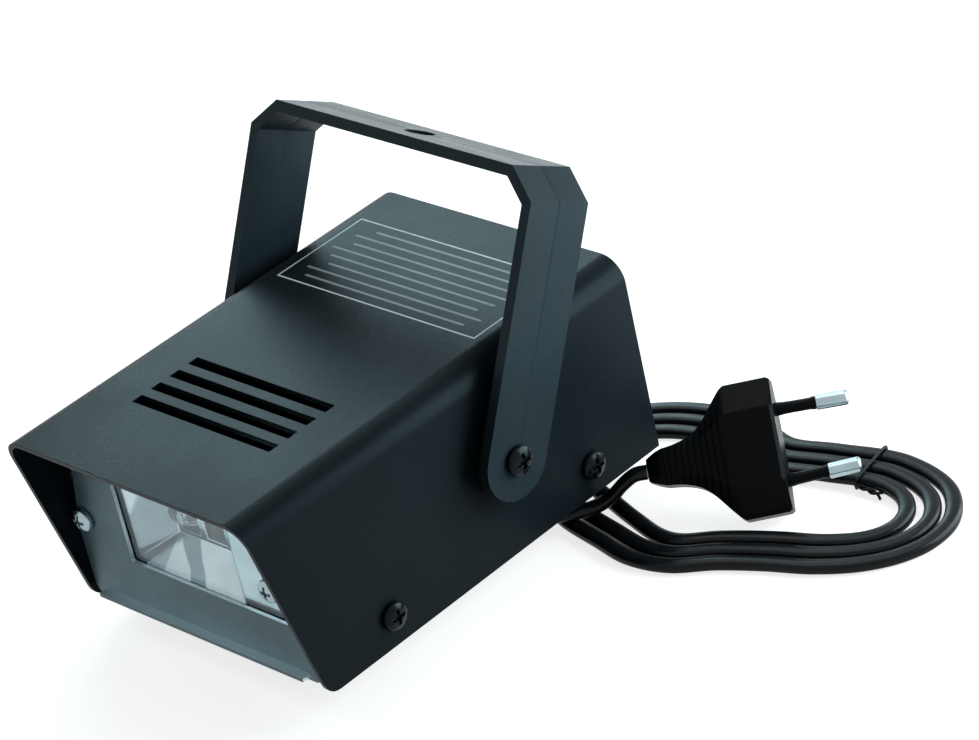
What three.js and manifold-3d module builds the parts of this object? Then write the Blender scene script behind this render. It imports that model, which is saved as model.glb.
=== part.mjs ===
// Compact strobe light: a folded sheet steel case with a lamp behind its raked front, a tilting
// moulded bracket, rubber feet and a mains cord that lies coiled beside the case.
// Millimetres, +Z up. The lamp looks along -Y and the origin lies under the middle of the part.

import * as THREE from 'three';
import { mergeVertices } from 'three/addons/utils/BufferGeometryUtils.js';
import Module from 'manifold-3d';

const wasm = await Module();
wasm.setup();

// Fits
const seatGap = 0.2;
const runGap = 0.3;
const overrun = 2;

// Cross recess and brim of every pan head, as shares of the head's own size
const headBrimShare = 0.33;
const crossArmShare = 0.13;
const crossReachShare = 0.55;
const crossFloorShare = 0.45;

// Case cover: top and two sides folded from one sheet, its front edges raked forward
const caseWidth = 90;
const caseHeight = 57;
const caseLength = 123;
const rake = 13;
const sheet = 1.5;
const bendRadius = 7;
const toeRadius = 4;
const slotCount = 4;
const slotWidth = 3.3;
const slotPitch = 6.5;
const slotLength = 51;
const slotSetback = 28.1;
const halfCase = caseWidth / 2;
const innerHalf = halfCase - sheet;

// Base tray: floor, side flanges, rear wall and two front tabs in one folded sheet
const traySheet = 1.2;
const trayFront = 3.5;
const trayRearInset = 0.5;
const flangeHeight = 14;
const flangeInset = 11;
const tabWidth = 9;
const tabRise = 7;
const trayHalf = innerHalf - runGap;
const trayRear = caseLength - trayRearInset;
const rearWallInner = trayRear - traySheet;

// Screws that hold the cover to the tray
const caseScrewFront = 24.5;
const caseScrewRearInset = 24.3;
const caseScrewRear = caseLength - caseScrewRearInset;
const caseScrewHeight = 8.8;
const caseScrewShank = 1.5;
const caseScrewHead = 3.9;
const caseScrewHeadRise = 2.3;
const caseScrewLength = 8;

// Rubber feet, pushed into holes in the tray
const footHeight = 8;
const footRadius = 5.5;
const footWaist = 4.6;
const footStem = 2;
const footBulb = 2.9;
const footBulbRise = 2.2;
const footDish = 2.6;
const footSideInset = 18;
const footRearInset = 43;
const footSpread = halfCase - footSideInset;
const footFront = 19;
const footRear = caseLength - footRearInset;

// Front panel with the lamp window and a turned-out lower lip
const panelFace = 0.5;
const panelSheet = 1;
const panelSideGap = 0.7;
const panelHalfWidth = innerHalf - panelSideGap;
const panelFoot = 2.2;
const panelFootRadius = 3;
const panelShoulder = 22;
const panelTopGap = 7;
const panelTop = caseHeight - panelTopGap;
const panelTopInset = 6.3;
const panelTopHalfWidth = panelHalfWidth - panelTopInset;
const panelNeckDrop = 9;
const panelNeck = panelTop - panelNeckDrop;
const panelNeckInset = 4.2;
const panelNeckHalfWidth = panelHalfWidth - panelNeckInset;
const lipInset = 4.3;
const lipHalfWidth = panelHalfWidth - lipInset;
const lipReach = 2.7;
const lipBottom = 3.4;
const windowLeftInset = 19.2;
const windowLeft = windowLeftInset - panelHalfWidth;
const windowRightInset = 7.8;
const windowRight = panelHalfWidth - windowRightInset;
const windowBottom = 17.6;
const windowTopInset = 3.5;
const windowTop = panelTop - windowTopInset;
const windowRadius = 0.8;

// Lamp unit: clear pane, folded reflector and flash tube, set to one side of the case
const lampCentre = -4.4;
const paneSheet = 1.5;
const paneSideGap = 1.5;
const paneHalfWidth = innerHalf - paneSideGap + lampCentre;
const paneBottom = 13;
const paneTopInset = 1;
const paneTop = panelTop - paneTopInset;
const lampRise = 1;
const lampHeight = (paneBottom + paneTop) / 2 + lampRise;
const reflectorSheet = 0.8;
const mouthHalfWidth = 21.4;
const mouthMargin = 2;
const mouthHalfHeight = (paneTop - paneBottom) / 2 - mouthMargin;
const throatHalfWidth = 9.8;
const throatHalfHeight = 8.3;
const reflectorDepth = 7.9;
const tubeRadius = 2.2;
const tubeBend = 5;
const tubeRise = 2.5;
const tubeHeight = lampHeight + tubeRise;
const tubeSlotWidth = 7.4;
const tubeSlotRise = 6.5;
const tubeSlotTop = lampHeight + tubeSlotRise;
const tubeSlotDrop = 7;
const tubeSlotBottom = lampHeight - tubeSlotDrop;
const lampScrewInset = 3;
const lampScrewSpread = paneHalfWidth - lampScrewInset;
const lampScrewDrop = 5.8;
const lampScrewHeight = lampHeight - lampScrewDrop;
const lampScrewShank = 1.5;
const lampScrewHead = 3.4;
const lampScrewHeadRise = 2.4;
const lampScrewLength = 9;
const lampNutFlats = 5.5;
const lampNutHeight = 2.4;

// Circuit board and what stands on it
const boardSheet = 1.6;
const boardSideGap = 6;
const boardHalfWidth = trayHalf - traySheet - boardSideGap;
const boardFront = 20;
const boardRearGap = 13.3;
const boardRear = rearWallInner - boardRearGap;
const standoffHeight = 6.8;
const standoffRadius = 3;
const standoffInset = 5;
const holderHalfWidth = 9.5;
const holderDepth = 9;
const holderRise = 5.5;
const holderTop = tubeHeight + holderRise;
const holderBore = 5.6;
const holderWall = 3;
const rearRowInset = 20;
const rearRowPlace = boardRear - rearRowInset;
const sideRowInset = 10;
const sideRowSpread = boardHalfWidth - sideRowInset;
const capacitorRadiusShare = 2 / 9;
const capacitorRadius = boardHalfWidth * capacitorRadiusShare;
const capacitorSpread = 1.5 * capacitorRadius;
const capacitorFront = 42;
const capacitorRearGap = 16;
const capacitorLength = rearRowPlace - capacitorRearGap - capacitorFront;
const crimpDepth = 0.7;
const coilRadius = 5;
const coilCore = 3;
const coilHeight = 12;
const coilFlange = 1.4;
const resistorLength = 34;
const resistorSide = 8;
const thyristorWidth = 10;
const thyristorHeight = 15;
const thyristorDepth = 4.5;
const thyristorHole = 1.8;
const thyristorHoleDrop = 3;

// Speed control on the rear wall
const controlInset = 25;
const controlSide = halfCase - controlInset;
const controlHeight = 34;
const potRadius = 8;
const potDepth = 8;
const bushRadius = 3.5;
const bushProud = 0.65;
const shaftRadius = 2.9;
const shaftSocket = 5;
const potNutFlats = 10;
const potNutHeight = 2;
const knobRadius = 7.5;
const knobTopRadius = 6.7;
const knobLength = 10;
const knobSkirt = 1.6;
const knobFaceCap = 1.4;
const knobFlutes = 12;
const knobFluteRadius = 0.9;
const knobFluteSet = 0.3;
const pointerWidth = 0.6;
const pointerDepth = 0.5;
const pointerStartShare = 0.33;
const knobStandoff = 0.6;

// Cord entry: rubber boot in the rear wall
const bootInset = 17;
const bootSide = bootInset - halfCase;
const bootLevel = 11;
const bootNeck = 3.8;
const bootFlange = 5.6;
const bootFlangeDepth = 1.8;
const bootRoot = 4.6;
const bootTip = 3.3;
const bootLength = 20;
const bootRings = 4;
const bootGroove = 0.6;
const bootFirstShare = 0.75;

// Bracket: one moulded strap that swings on two screws
const pivotPlace = 69.7;
const pivotHeight = 29.5;
const strapGap = 3;
const strapThickness = 3;
const strapHalfWidth = halfCase + strapGap + strapThickness;
const strapDepth = 21;
const strapReach = 72.9;
const strapChamferWidth = 8.05;
const strapChamferHeight = 7.6;
const strapFoot = 11;
const strapHole = 4.1;
const restLean = 29;
const pivotShank = 2;
const pivotHead = 4.2;
const pivotHeadRise = 2.4;
const pivotNutFlats = 7;
const pivotNutHeight = 3.2;
const pivotTail = 1.5;
const spacerRadius = 6;

// Cord: flat twin flex
const cordWidth = 4.6;
const cordThickness = 3.2;
const cordJoint = 0.3;
const cordStraight = 3.2;

// Hank: turns laid side by side on the floor. The outline is a round of mean radius
// hankRadius about its middle, drawn out by waves of two, three and four to the turn.
const hankBeside = 23.3;
const hankAhead = 3.6;
const hankMiddleX = halfCase + hankBeside;
const hankMiddleY = caseLength - hankAhead;
const hankRadius = 45.4;
const hankWaveShares = [
  { waves: 2, cosShare: 0.309, sinShare: 0.092 },
  { waves: 3, cosShare: 0.028, sinShare: 0.097 },
  { waves: 4, cosShare: 0.037, sinShare: 0.056 },
];
const hankPitch = 5.4;
const hankLoops = 2.95;
const hankStepsPerLoop = 24;
const hankStartAngle = 222;
const hankCrowdShare = 0.22;
const hankPeel = 2.5;
const hankPeelSteps = 3;

// Tie round the hank, with its twisted end
const tieAngle = 52;
const tieThickness = 0.9;
const tieBreadth = 1.8;
const tieTail = 6;
const tieSlack = 1.9;
const tieHumpAngle = 60;

// Plug: flat two-pin body that stands on one edge, leaning back
const plugHalfWidth = 17.65;
const plugHalfThickness = 6.6;
const plugEdgeHalf = 2.8;
const plugBevel = 8;
const plugBody = 12.5;
const plugLength = 35;
const gripHalfWidth = 4.6;
const gripHalfThickness = 3.6;
const gripRibs = 10;
const gripRibPitch = 1.75;
const gripRibDepth = 0.35;
const gripFirstShare = 1.2;
const gripWaistShare = 1.1;
const ribWideShare = 0.55;
const ribNarrowShare = 0.5;
const pinSpacing = 18.6;
const pinLength = 19;
const pinSleeve = 10.5;
const pinRadius = 2;
const sleeveRadius = 1.75;
const pinCore = 1.3;
const pinRound = 0.7;
const plugBeside = 38.9;
const plugBehind = 5.9;
const plugX = halfCase + plugBeside;
const plugY = caseLength + plugBehind;
const plugHeading = 41;
const plugPitch = 4;
const plugLean = 41;

// Levels and faces that follow from the sizes above
const floorLevel = -footHeight;
const paneFace = panelFace + panelSheet + runGap;
const flangeFace = paneFace + paneSheet + runGap;
const tabFace = flangeFace + reflectorSheet + runGap;
const boardLevel = traySheet + seatGap + standoffHeight + seatGap;
const boardTop = boardLevel + boardSheet;
const cordLevel = floorLevel + cordThickness / 2;
const bootTipFace = trayRear + seatGap + bootFlangeDepth + bootLength;

// Materials
const coat = new THREE.MeshStandardMaterial({ color: 0x2b3538, roughness: 0.55, metalness: 0.25 });
const trayCoat = new THREE.MeshStandardMaterial({ color: 0x22292c, roughness: 0.6, metalness: 0.25 });
const panelGrey = new THREE.MeshStandardMaterial({ color: 0x66777c, roughness: 0.45, metalness: 0.5 });
const bright = new THREE.MeshStandardMaterial({ color: 0xd4dde0, roughness: 0.15, metalness: 1 });
const clear = new THREE.MeshStandardMaterial({ color: 0xe8f2f4, roughness: 0.05, metalness: 0 });
const glass = new THREE.MeshStandardMaterial({ color: 0xdfeaf0, roughness: 0.05, metalness: 0 });
const plastic = new THREE.MeshStandardMaterial({ color: 0x1d2528, roughness: 0.5, metalness: 0 });
const knobPlastic = new THREE.MeshStandardMaterial({ color: 0x141719, roughness: 0.45, metalness: 0 });
const flex = new THREE.MeshStandardMaterial({ color: 0x0d1114, roughness: 0.4, metalness: 0 });
const rubber = new THREE.MeshStandardMaterial({ color: 0x101214, roughness: 0.8, metalness: 0 });
const blackSteel = new THREE.MeshStandardMaterial({ color: 0x16191b, roughness: 0.35, metalness: 0.8 });
const chrome = new THREE.MeshStandardMaterial({ color: 0xc9d2d6, roughness: 0.12, metalness: 1 });
const zinc = new THREE.MeshStandardMaterial({ color: 0xa7adb0, roughness: 0.35, metalness: 1 });
const boardBrown = new THREE.MeshStandardMaterial({ color: 0x9c7b45, roughness: 0.6, metalness: 0 });
const sleeveBlue = new THREE.MeshStandardMaterial({ color: 0x20304c, roughness: 0.4, metalness: 0 });
const ceramic = new THREE.MeshStandardMaterial({ color: 0xd8d4c8, roughness: 0.7, metalness: 0 });
const copper = new THREE.MeshStandardMaterial({ color: 0x9a4e22, roughness: 0.35, metalness: 0.8 });

const strobe = new THREE.Group();

// Adds one named piece to a group
function place(parent, name, geometry, material) {
  const mesh = new THREE.Mesh(geometry, material);
  mesh.name = name;
  parent.add(mesh);
  return mesh;
}

// Turns a closed geometry into a solid that can be joined and cut
function solid(geometry) {
  const bare = geometry.index ? geometry.toNonIndexed() : geometry.clone();
  bare.deleteAttribute('normal');
  bare.deleteAttribute('uv');
  const merged = mergeVertices(bare, 1e-4);
  return new wasm.Manifold(new wasm.Mesh({
    numProp: 3,
    vertProperties: new Float32Array(merged.attributes.position.array),
    triVerts: new Uint32Array(merged.index.array),
  }));
}

// Turns a solid back into a geometry
function shape(body) {
  const mesh = body.getMesh();
  const geometry = new THREE.BufferGeometry();
  geometry.setAttribute('position', new THREE.BufferAttribute(new Float32Array(mesh.vertProperties), 3));
  geometry.setIndex(new THREE.BufferAttribute(new Uint32Array(mesh.triVerts), 1));
  geometry.computeVertexNormals();
  return geometry;
}

function joined(first, ...rest) {
  return rest.reduce((sum, next) => sum.add(next), first);
}

function cut(body, ...tools) {
  return tools.reduce((left, tool) => left.subtract(tool), body);
}

// Extrudes an outline drawn in (y, z) from x = from to x = to
function alongX(outline, from, to, curveSegments = 8) {
  const depth = to - from;
  const geometry = new THREE.ExtrudeGeometry(outline, { depth, bevelEnabled: false, curveSegments });
  const axes = new THREE.Matrix4().makeBasis(
    new THREE.Vector3(0, 1, 0), new THREE.Vector3(0, 0, 1), new THREE.Vector3(1, 0, 0));
  return geometry.applyMatrix4(axes.setPosition(from, 0, 0));
}

// Extrudes an outline drawn in (x, z) from y = from to y = to
function alongY(outline, from, to, curveSegments = 8) {
  const depth = to - from;
  const geometry = new THREE.ExtrudeGeometry(outline, { depth, bevelEnabled: false, curveSegments });
  const axes = new THREE.Matrix4().makeBasis(
    new THREE.Vector3(1, 0, 0), new THREE.Vector3(0, 0, 1), new THREE.Vector3(0, -1, 0));
  return geometry.applyMatrix4(axes.setPosition(0, to, 0));
}

// Extrudes an outline drawn in (x, y) from z = from to z = to
function alongZ(outline, from, to, curveSegments = 8) {
  const depth = to - from;
  const geometry = new THREE.ExtrudeGeometry(outline, { depth, bevelEnabled: false, curveSegments });
  return geometry.translate(0, 0, from);
}

function polygon(points) {
  return new THREE.Shape(points.map(([u, v]) => new THREE.Vector2(u, v)));
}

// Rectangle with one radius on all corners
function rectangle(left, right, bottom, top, radius = 0) {
  if (radius === 0) {
    return polygon([[left, bottom], [right, bottom], [right, top], [left, top]]);
  }
  const outline = new THREE.Shape();
  outline.moveTo(left + radius, bottom);
  outline.lineTo(right - radius, bottom);
  outline.absarc(right - radius, bottom + radius, radius, -Math.PI / 2, 0);
  outline.lineTo(right, top - radius);
  outline.absarc(right - radius, top - radius, radius, 0, Math.PI / 2);
  outline.lineTo(left + radius, top);
  outline.absarc(left + radius, top - radius, radius, Math.PI / 2, Math.PI);
  outline.lineTo(left, bottom + radius);
  outline.absarc(left + radius, bottom + radius, radius, Math.PI, 1.5 * Math.PI);
  return outline;
}

function disc(u, v, radius) {
  return new THREE.Shape().absarc(u, v, radius, 0, 2 * Math.PI);
}

function hexagon(u, v, flats) {
  const radius = flats / Math.sqrt(3);
  const corners = [0, 1, 2, 3, 4, 5].map((corner) => {
    const angle = corner * Math.PI / 3;
    return [u + radius * Math.cos(angle), v + radius * Math.sin(angle)];
  });
  return polygon(corners);
}

function boxBetween(x0, x1, y0, y1, z0, z1) {
  return solid(alongZ(rectangle(x0, x1, y0, y1), z0, z1));
}

// Revolves a profile of [radius, height] points about the Z axis
function turned(profile, segments) {
  return new THREE.LatheGeometry(profile.map(([r, h]) => new THREE.Vector2(r, h)), segments)
    .rotateX(Math.PI / 2);
}

// Pan head screw along +Z: the head's seat at z = 0, its crown above, the shank below
function panScrew(headRadius, headRise, shankRadius, length) {
  const brim = headRise * headBrimShare;
  const crownSteps = 4;
  const profile = [
    [0, -length], [shankRadius, -length], [shankRadius, 0], [headRadius, 0], [headRadius, brim],
  ];
  for (let step = 1; step <= crownSteps; step += 1) {
    const angle = step / crownSteps * Math.PI / 2;
    profile.push([headRadius * Math.cos(angle), brim + (headRise - brim) * Math.sin(angle)]);
  }
  profile[profile.length - 1][0] = 0;
  const armHalf = headRadius * crossArmShare;
  const armReach = headRadius * crossReachShare;
  const recessFloor = headRise * crossFloorShare;
  const arm = boxBetween(-armReach, armReach, -armHalf, armHalf, recessFloor, headRise + overrun);
  const crossArm = boxBetween(-armHalf, armHalf, -armReach, armReach, recessFloor, headRise + overrun);
  return shape(cut(solid(turned(profile, 20)), joined(arm, crossArm)));
}

// Hexagon nut along +Z from z = 0
function hexNut(flats, height, boreRadius) {
  const outline = hexagon(0, 0, flats);
  outline.holes.push(new THREE.Path().absarc(0, 0, boreRadius, 0, 2 * Math.PI));
  return alongZ(outline, 0, height, 8);
}

// Case cover
function coverOutline(halfWidth, height, radius) {
  const outline = new THREE.Shape();
  outline.moveTo(-halfWidth, 0);
  outline.lineTo(halfWidth, 0);
  outline.lineTo(halfWidth, height - radius);
  outline.absarc(halfWidth - radius, height - radius, radius, 0, Math.PI / 2);
  outline.lineTo(-halfWidth + radius, height);
  outline.absarc(-halfWidth + radius, height - radius, radius, Math.PI / 2, Math.PI);
  return outline;
}

// A round cutter that runs across the whole case
function boreAcross(y, z, radius) {
  return solid(alongX(disc(y, z, radius), -caseWidth, caseWidth));
}

// A round cutter that runs from the front to the rear between two places
function boreAlong(x, z, radius, from, to) {
  return solid(alongY(disc(x, z, radius), from - overrun, to + overrun));
}

function makeCover() {
  const frontEdge = -rake;
  const outer = solid(alongY(coverOutline(halfCase, caseHeight, bendRadius), frontEdge, caseLength));
  const inner = coverOutline(innerHalf, caseHeight - sheet, bendRadius - sheet);
  const hollow = solid(alongY(inner, frontEdge - overrun, caseLength + overrun));
  const mouth = rectangle(-innerHalf, innerHalf, -overrun, overrun);
  const opening = solid(alongY(mouth, frontEdge - overrun, caseLength + overrun));
  const rakeSlope = rake / caseHeight;
  const side = new THREE.Shape();
  side.moveTo(toeRadius, 0);
  side.lineTo(caseLength, 0);
  side.lineTo(caseLength, caseHeight + overrun);
  side.lineTo(-rakeSlope * (caseHeight + overrun), caseHeight + overrun);
  side.lineTo(-rakeSlope * toeRadius, toeRadius);
  side.quadraticCurveTo(0, 0, toeRadius, 0);
  const sideCut = solid(alongX(side, -caseWidth, caseWidth, 5));
  const slots = [];
  for (let slot = 0; slot < slotCount; slot += 1) {
    const front = frontEdge + slotSetback + slot * slotPitch;
    slots.push(boxBetween(-slotLength / 2, slotLength / 2, front, front + slotWidth,
      caseHeight - sheet - overrun, caseHeight + overrun));
  }
  const holes = [boreAcross(pivotPlace, pivotHeight, pivotShank + runGap)];
  for (const screwPlace of [caseScrewFront, caseScrewRear]) {
    holes.push(boreAcross(screwPlace, caseScrewHeight, caseScrewShank + runGap));
  }
  const shell = cut(outer, hollow, opening).intersect(sideCut);
  return shape(cut(shell, ...slots, ...holes));
}
place(strobe, 'cover', makeCover(), coat);

// Base tray
const lampScrewPlaces = [lampCentre - lampScrewSpread, lampCentre + lampScrewSpread];
const footPlaces = [];
for (const y of [footFront, footRear]) {
  footPlaces.push([-footSpread, y], [footSpread, y]);
}

function makeTray() {
  const floor = boxBetween(-trayHalf, trayHalf, trayFront, trayRear, 0, traySheet);
  const flangeFront = trayFront + flangeInset;
  const flangeRear = trayRear - flangeInset;
  const left = boxBetween(-trayHalf, -trayHalf + traySheet, flangeFront, flangeRear, 0, flangeHeight);
  const right = boxBetween(trayHalf - traySheet, trayHalf, flangeFront, flangeRear, 0, flangeHeight);
  const wallTop = caseHeight - sheet - runGap;
  const wallOutline = coverOutline(trayHalf, wallTop, bendRadius - sheet - runGap);
  const wall = solid(alongY(wallOutline, rearWallInner, trayRear));
  const tabs = lampScrewPlaces.map((x) => boxBetween(
    x - tabWidth / 2, x + tabWidth / 2, tabFace, tabFace + traySheet, 0, lampScrewHeight + tabRise));
  const holes = [
    boreAlong(controlSide, controlHeight, bushRadius + runGap, rearWallInner, trayRear),
    boreAlong(bootSide, bootLevel, bootNeck + runGap, rearWallInner, trayRear),
  ];
  for (const x of lampScrewPlaces) {
    holes.push(boreAlong(x, lampScrewHeight, lampScrewShank + runGap, tabFace, tabFace + traySheet));
  }
  for (const y of [caseScrewFront, caseScrewRear]) {
    holes.push(boreAcross(y, caseScrewHeight, caseScrewShank + runGap));
  }
  for (const [x, y] of footPlaces) {
    holes.push(solid(alongZ(disc(x, y, footStem + runGap), -overrun, traySheet + overrun)));
  }
  return shape(cut(joined(floor, left, right, wall, ...tabs), ...holes));
}
place(strobe, 'base_tray', makeTray(), trayCoat);

// Rubber feet: a waisted pad, a stem through the tray and a bulb that holds it there
const footTop = -seatGap;
const bulbSeat = traySheet + seatGap;
const footProfile = [
  [0, floorLevel + footDish / 2],
  [footDish, floorLevel + footDish / 2],
  [footDish, floorLevel],
  [footRadius, floorLevel],
  [footWaist, (floorLevel + footTop) / 2],
  [footRadius, footTop],
  [footStem, footTop],
  [footStem, bulbSeat],
  [footBulb, bulbSeat],
  [footStem, bulbSeat + footBulbRise],
  [0, bulbSeat + footBulbRise],
];
footPlaces.forEach(([x, y], index) => {
  place(strobe, `foot_${index + 1}`, turned(footProfile, 20).translate(x, y, 0), rubber);
});

// Case screws, two on each side
const screwSides = [{ side: 'left', sign: -1 }, { side: 'right', sign: 1 }];
for (const { side, sign } of screwSides) {
  for (const [end, y] of [['front', caseScrewFront], ['rear', caseScrewRear]]) {
    const screw = place(strobe, `case_screw_${side}_${end}`,
      panScrew(caseScrewHead, caseScrewHeadRise, caseScrewShank, caseScrewLength), blackSteel);
    screw.rotation.y = sign * Math.PI / 2;
    screw.position.set(sign * (halfCase + seatGap), y, caseScrewHeight);
  }
}

// Front panel: narrower towards the top, with its lower lip turned out
function makePanel() {
  const cornerX = panelHalfWidth - panelFootRadius;
  const cornerZ = panelFoot + panelFootRadius;
  const outline = new THREE.Shape();
  outline.moveTo(cornerX, panelFoot);
  outline.absarc(cornerX, cornerZ, panelFootRadius, -Math.PI / 2, 0);
  outline.lineTo(panelHalfWidth, panelShoulder);
  outline.lineTo(panelNeckHalfWidth, panelNeck);
  outline.lineTo(panelTopHalfWidth, panelTop);
  outline.lineTo(-panelTopHalfWidth, panelTop);
  outline.lineTo(-panelNeckHalfWidth, panelNeck);
  outline.lineTo(-panelHalfWidth, panelShoulder);
  outline.absarc(-cornerX, cornerZ, panelFootRadius, Math.PI, 1.5 * Math.PI);
  const plate = solid(alongY(outline, panelFace, panelFace + panelSheet, 4));
  const lip = boxBetween(-lipHalfWidth, lipHalfWidth, panelFace - lipReach, panelFace + panelSheet,
    lipBottom, lipBottom + panelSheet);
  const window = rectangle(windowLeft, windowRight, windowBottom, windowTop, windowRadius);
  const panelBack = panelFace + panelSheet;
  const windowCut = solid(alongY(window, panelFace - overrun, panelBack + overrun, 3));
  const holeRadius = lampScrewShank + runGap;
  const holeCut = boreAlong(lampScrewPlaces[0], lampScrewHeight, holeRadius, panelFace, panelBack);
  return shape(cut(joined(plate, lip), windowCut, holeCut));
}
place(strobe, 'front_panel', makePanel(), panelGrey);

// Clear pane behind the window
function lampPlate(left, right, bottom, top) {
  const outline = rectangle(left, right, bottom, top);
  const holeRadius = lampScrewShank + runGap;
  for (const x of lampScrewPlaces) {
    outline.holes.push(new THREE.Path().absarc(x, lampScrewHeight, holeRadius, 0, 2 * Math.PI));
  }
  return outline;
}
const plateLeft = lampCentre - paneHalfWidth;
const plateRight = lampCentre + paneHalfWidth;
place(strobe, 'window_pane',
  alongY(lampPlate(plateLeft, plateRight, paneBottom, paneTop), paneFace, paneFace + paneSheet), clear);

// A body between two rectangles that face each other along Y
function taperedBlock(nearHalf, nearHigh, nearY, farHalf, farHigh, farY) {
  const corners = [[-1, -1], [1, -1], [1, 1], [-1, 1]];
  const ring = (half, high, y) => corners.flatMap(([u, v]) => [
    lampCentre + u * half, y, lampHeight + v * high,
  ]);
  const geometry = new THREE.BufferGeometry();
  const positions = [...ring(nearHalf, nearHigh, nearY), ...ring(farHalf, farHigh, farY)];
  geometry.setAttribute('position', new THREE.Float32BufferAttribute(positions, 3));
  const faces = [0, 1, 2, 0, 2, 3, 4, 6, 5, 4, 7, 6];
  for (let corner = 0; corner < 4; corner += 1) {
    const next = (corner + 1) % 4;
    faces.push(corner, corner + 4, next + 4, corner, next + 4, next);
  }
  geometry.setIndex(faces);
  return solid(geometry);
}

// Reflector: a flat flange with a four-sided trough pressed back from it
function makeReflector() {
  const plate = solid(alongY(lampPlate(plateLeft, plateRight, paneBottom, paneTop),
    flangeFace, flangeFace + reflectorSheet));
  const throatFace = flangeFace + reflectorDepth;
  const trough = taperedBlock(
    mouthHalfWidth + reflectorSheet, mouthHalfHeight + reflectorSheet, flangeFace + reflectorSheet / 2,
    throatHalfWidth + reflectorSheet, throatHalfHeight + reflectorSheet, throatFace + reflectorSheet);
  const mouthGrowth = (mouthHalfWidth - throatHalfWidth) / reflectorDepth * overrun;
  const mouthRise = (mouthHalfHeight - throatHalfHeight) / reflectorDepth * overrun;
  const hollow = taperedBlock(
    mouthHalfWidth + mouthGrowth, mouthHalfHeight + mouthRise, flangeFace - overrun,
    throatHalfWidth, throatHalfHeight, throatFace);
  const slots = [-1, 1].map((sign) => {
    const middle = lampCentre + sign * tubeBend;
    return boxBetween(middle - tubeSlotWidth / 2, middle + tubeSlotWidth / 2,
      throatFace - overrun / 2, throatFace + reflectorSheet + overrun, tubeSlotBottom, tubeSlotTop);
  });
  return shape(cut(joined(plate, trough), hollow, ...slots));
}
place(strobe, 'reflector', makeReflector(), bright);

// Flash tube: a glass U whose legs end in the holder
const tubeBendPlace = flangeFace + reflectorSheet + tubeRadius + tubeBend;
const tubeEnd = boardFront + holderBore;
function makeTube() {
  const leftLeg = lampCentre - tubeBend;
  const rightLeg = lampCentre + tubeBend;
  const bendSteps = 10;
  const points = [new THREE.Vector3(leftLeg, tubeEnd, tubeHeight)];
  for (let step = 0; step <= bendSteps; step += 1) {
    const angle = Math.PI + step / bendSteps * Math.PI;
    points.push(new THREE.Vector3(
      lampCentre + tubeBend * Math.cos(angle), tubeBendPlace + tubeBend * Math.sin(angle), tubeHeight));
  }
  points.push(new THREE.Vector3(rightLeg, tubeEnd, tubeHeight));
  return sweep(points, roundSection(tubeRadius, 12));
}

// Section of a round rod
function roundSection(radius, sides) {
  const section = [];
  for (let side = 0; side < sides; side += 1) {
    const angle = (side + 0.5) / sides * 2 * Math.PI;
    section.push([radius * Math.cos(angle), radius * Math.sin(angle)]);
  }
  return section;
}

// Section of flat flex: straight top and bottom, rounded edges
function flatSection(width, thickness) {
  const flatShare = 0.5;
  const edgeShare = 0.5;
  const u = width / 2;
  const v = thickness / 2;
  return [
    [u, -v * edgeShare], [u, v * edgeShare], [u * flatShare, v], [-u * flatShare, v],
    [-u, v * edgeShare], [-u, -v * edgeShare], [-u * flatShare, -v], [u * flatShare, -v],
  ];
}

// Sweeps a section along points, its first direction kept level, and closes both ends
function sweep(points, section) {
  const up = new THREE.Vector3(0, 0, 1);
  const positions = [];
  const faces = [];
  const sides = section.length;
  points.forEach((point, index) => {
    const before = points[Math.max(index - 1, 0)];
    const after = points[Math.min(index + 1, points.length - 1)];
    const along = after.clone().sub(before).normalize();
    const level = along.clone().cross(up).normalize();
    const rise = level.clone().cross(along);
    for (const [u, v] of section) {
      const corner = point.clone().addScaledVector(level, u).addScaledVector(rise, v);
      positions.push(corner.x, corner.y, corner.z);
    }
  });
  for (let index = 0; index < points.length - 1; index += 1) {
    for (let side = 0; side < sides; side += 1) {
      const near = index * sides + side;
      const nearNext = index * sides + (side + 1) % sides;
      faces.push(near, nearNext + sides, nearNext, near, near + sides, nearNext + sides);
    }
  }
  const last = (points.length - 1) * sides;
  for (let side = 1; side < sides - 1; side += 1) {
    faces.push(0, side, side + 1, last, last + side + 1, last + side);
  }
  const geometry = new THREE.BufferGeometry();
  geometry.setAttribute('position', new THREE.Float32BufferAttribute(positions, 3));
  geometry.setIndex(faces);
  geometry.computeVertexNormals();
  return geometry;
}
place(strobe, 'flash_tube', makeTube(), glass);

// Tube holder: a moulded post on the board, bored for both legs
function makeHolder() {
  const holderRear = boardFront + holderDepth;
  const post = boxBetween(lampCentre - holderHalfWidth, lampCentre + holderHalfWidth,
    boardFront, holderRear, boardTop + seatGap, holderTop);
  const bores = [-1, 1].map((sign) => solid(alongY(
    disc(lampCentre + sign * tubeBend, tubeHeight, tubeRadius + seatGap),
    boardFront - overrun, tubeEnd + seatGap)));
  const archHalf = holderHalfWidth - holderWall;
  const archTop = tubeHeight - tubeRadius - holderWall;
  const archOutline = rectangle(
    lampCentre - archHalf, lampCentre + archHalf, boardTop - overrun, archTop, archHalf / 2);
  const arch = solid(alongY(archOutline, boardFront - overrun, holderRear + overrun));
  return shape(cut(post, ...bores, arch));
}
place(strobe, 'tube_holder', makeHolder(), ceramic);

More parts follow.
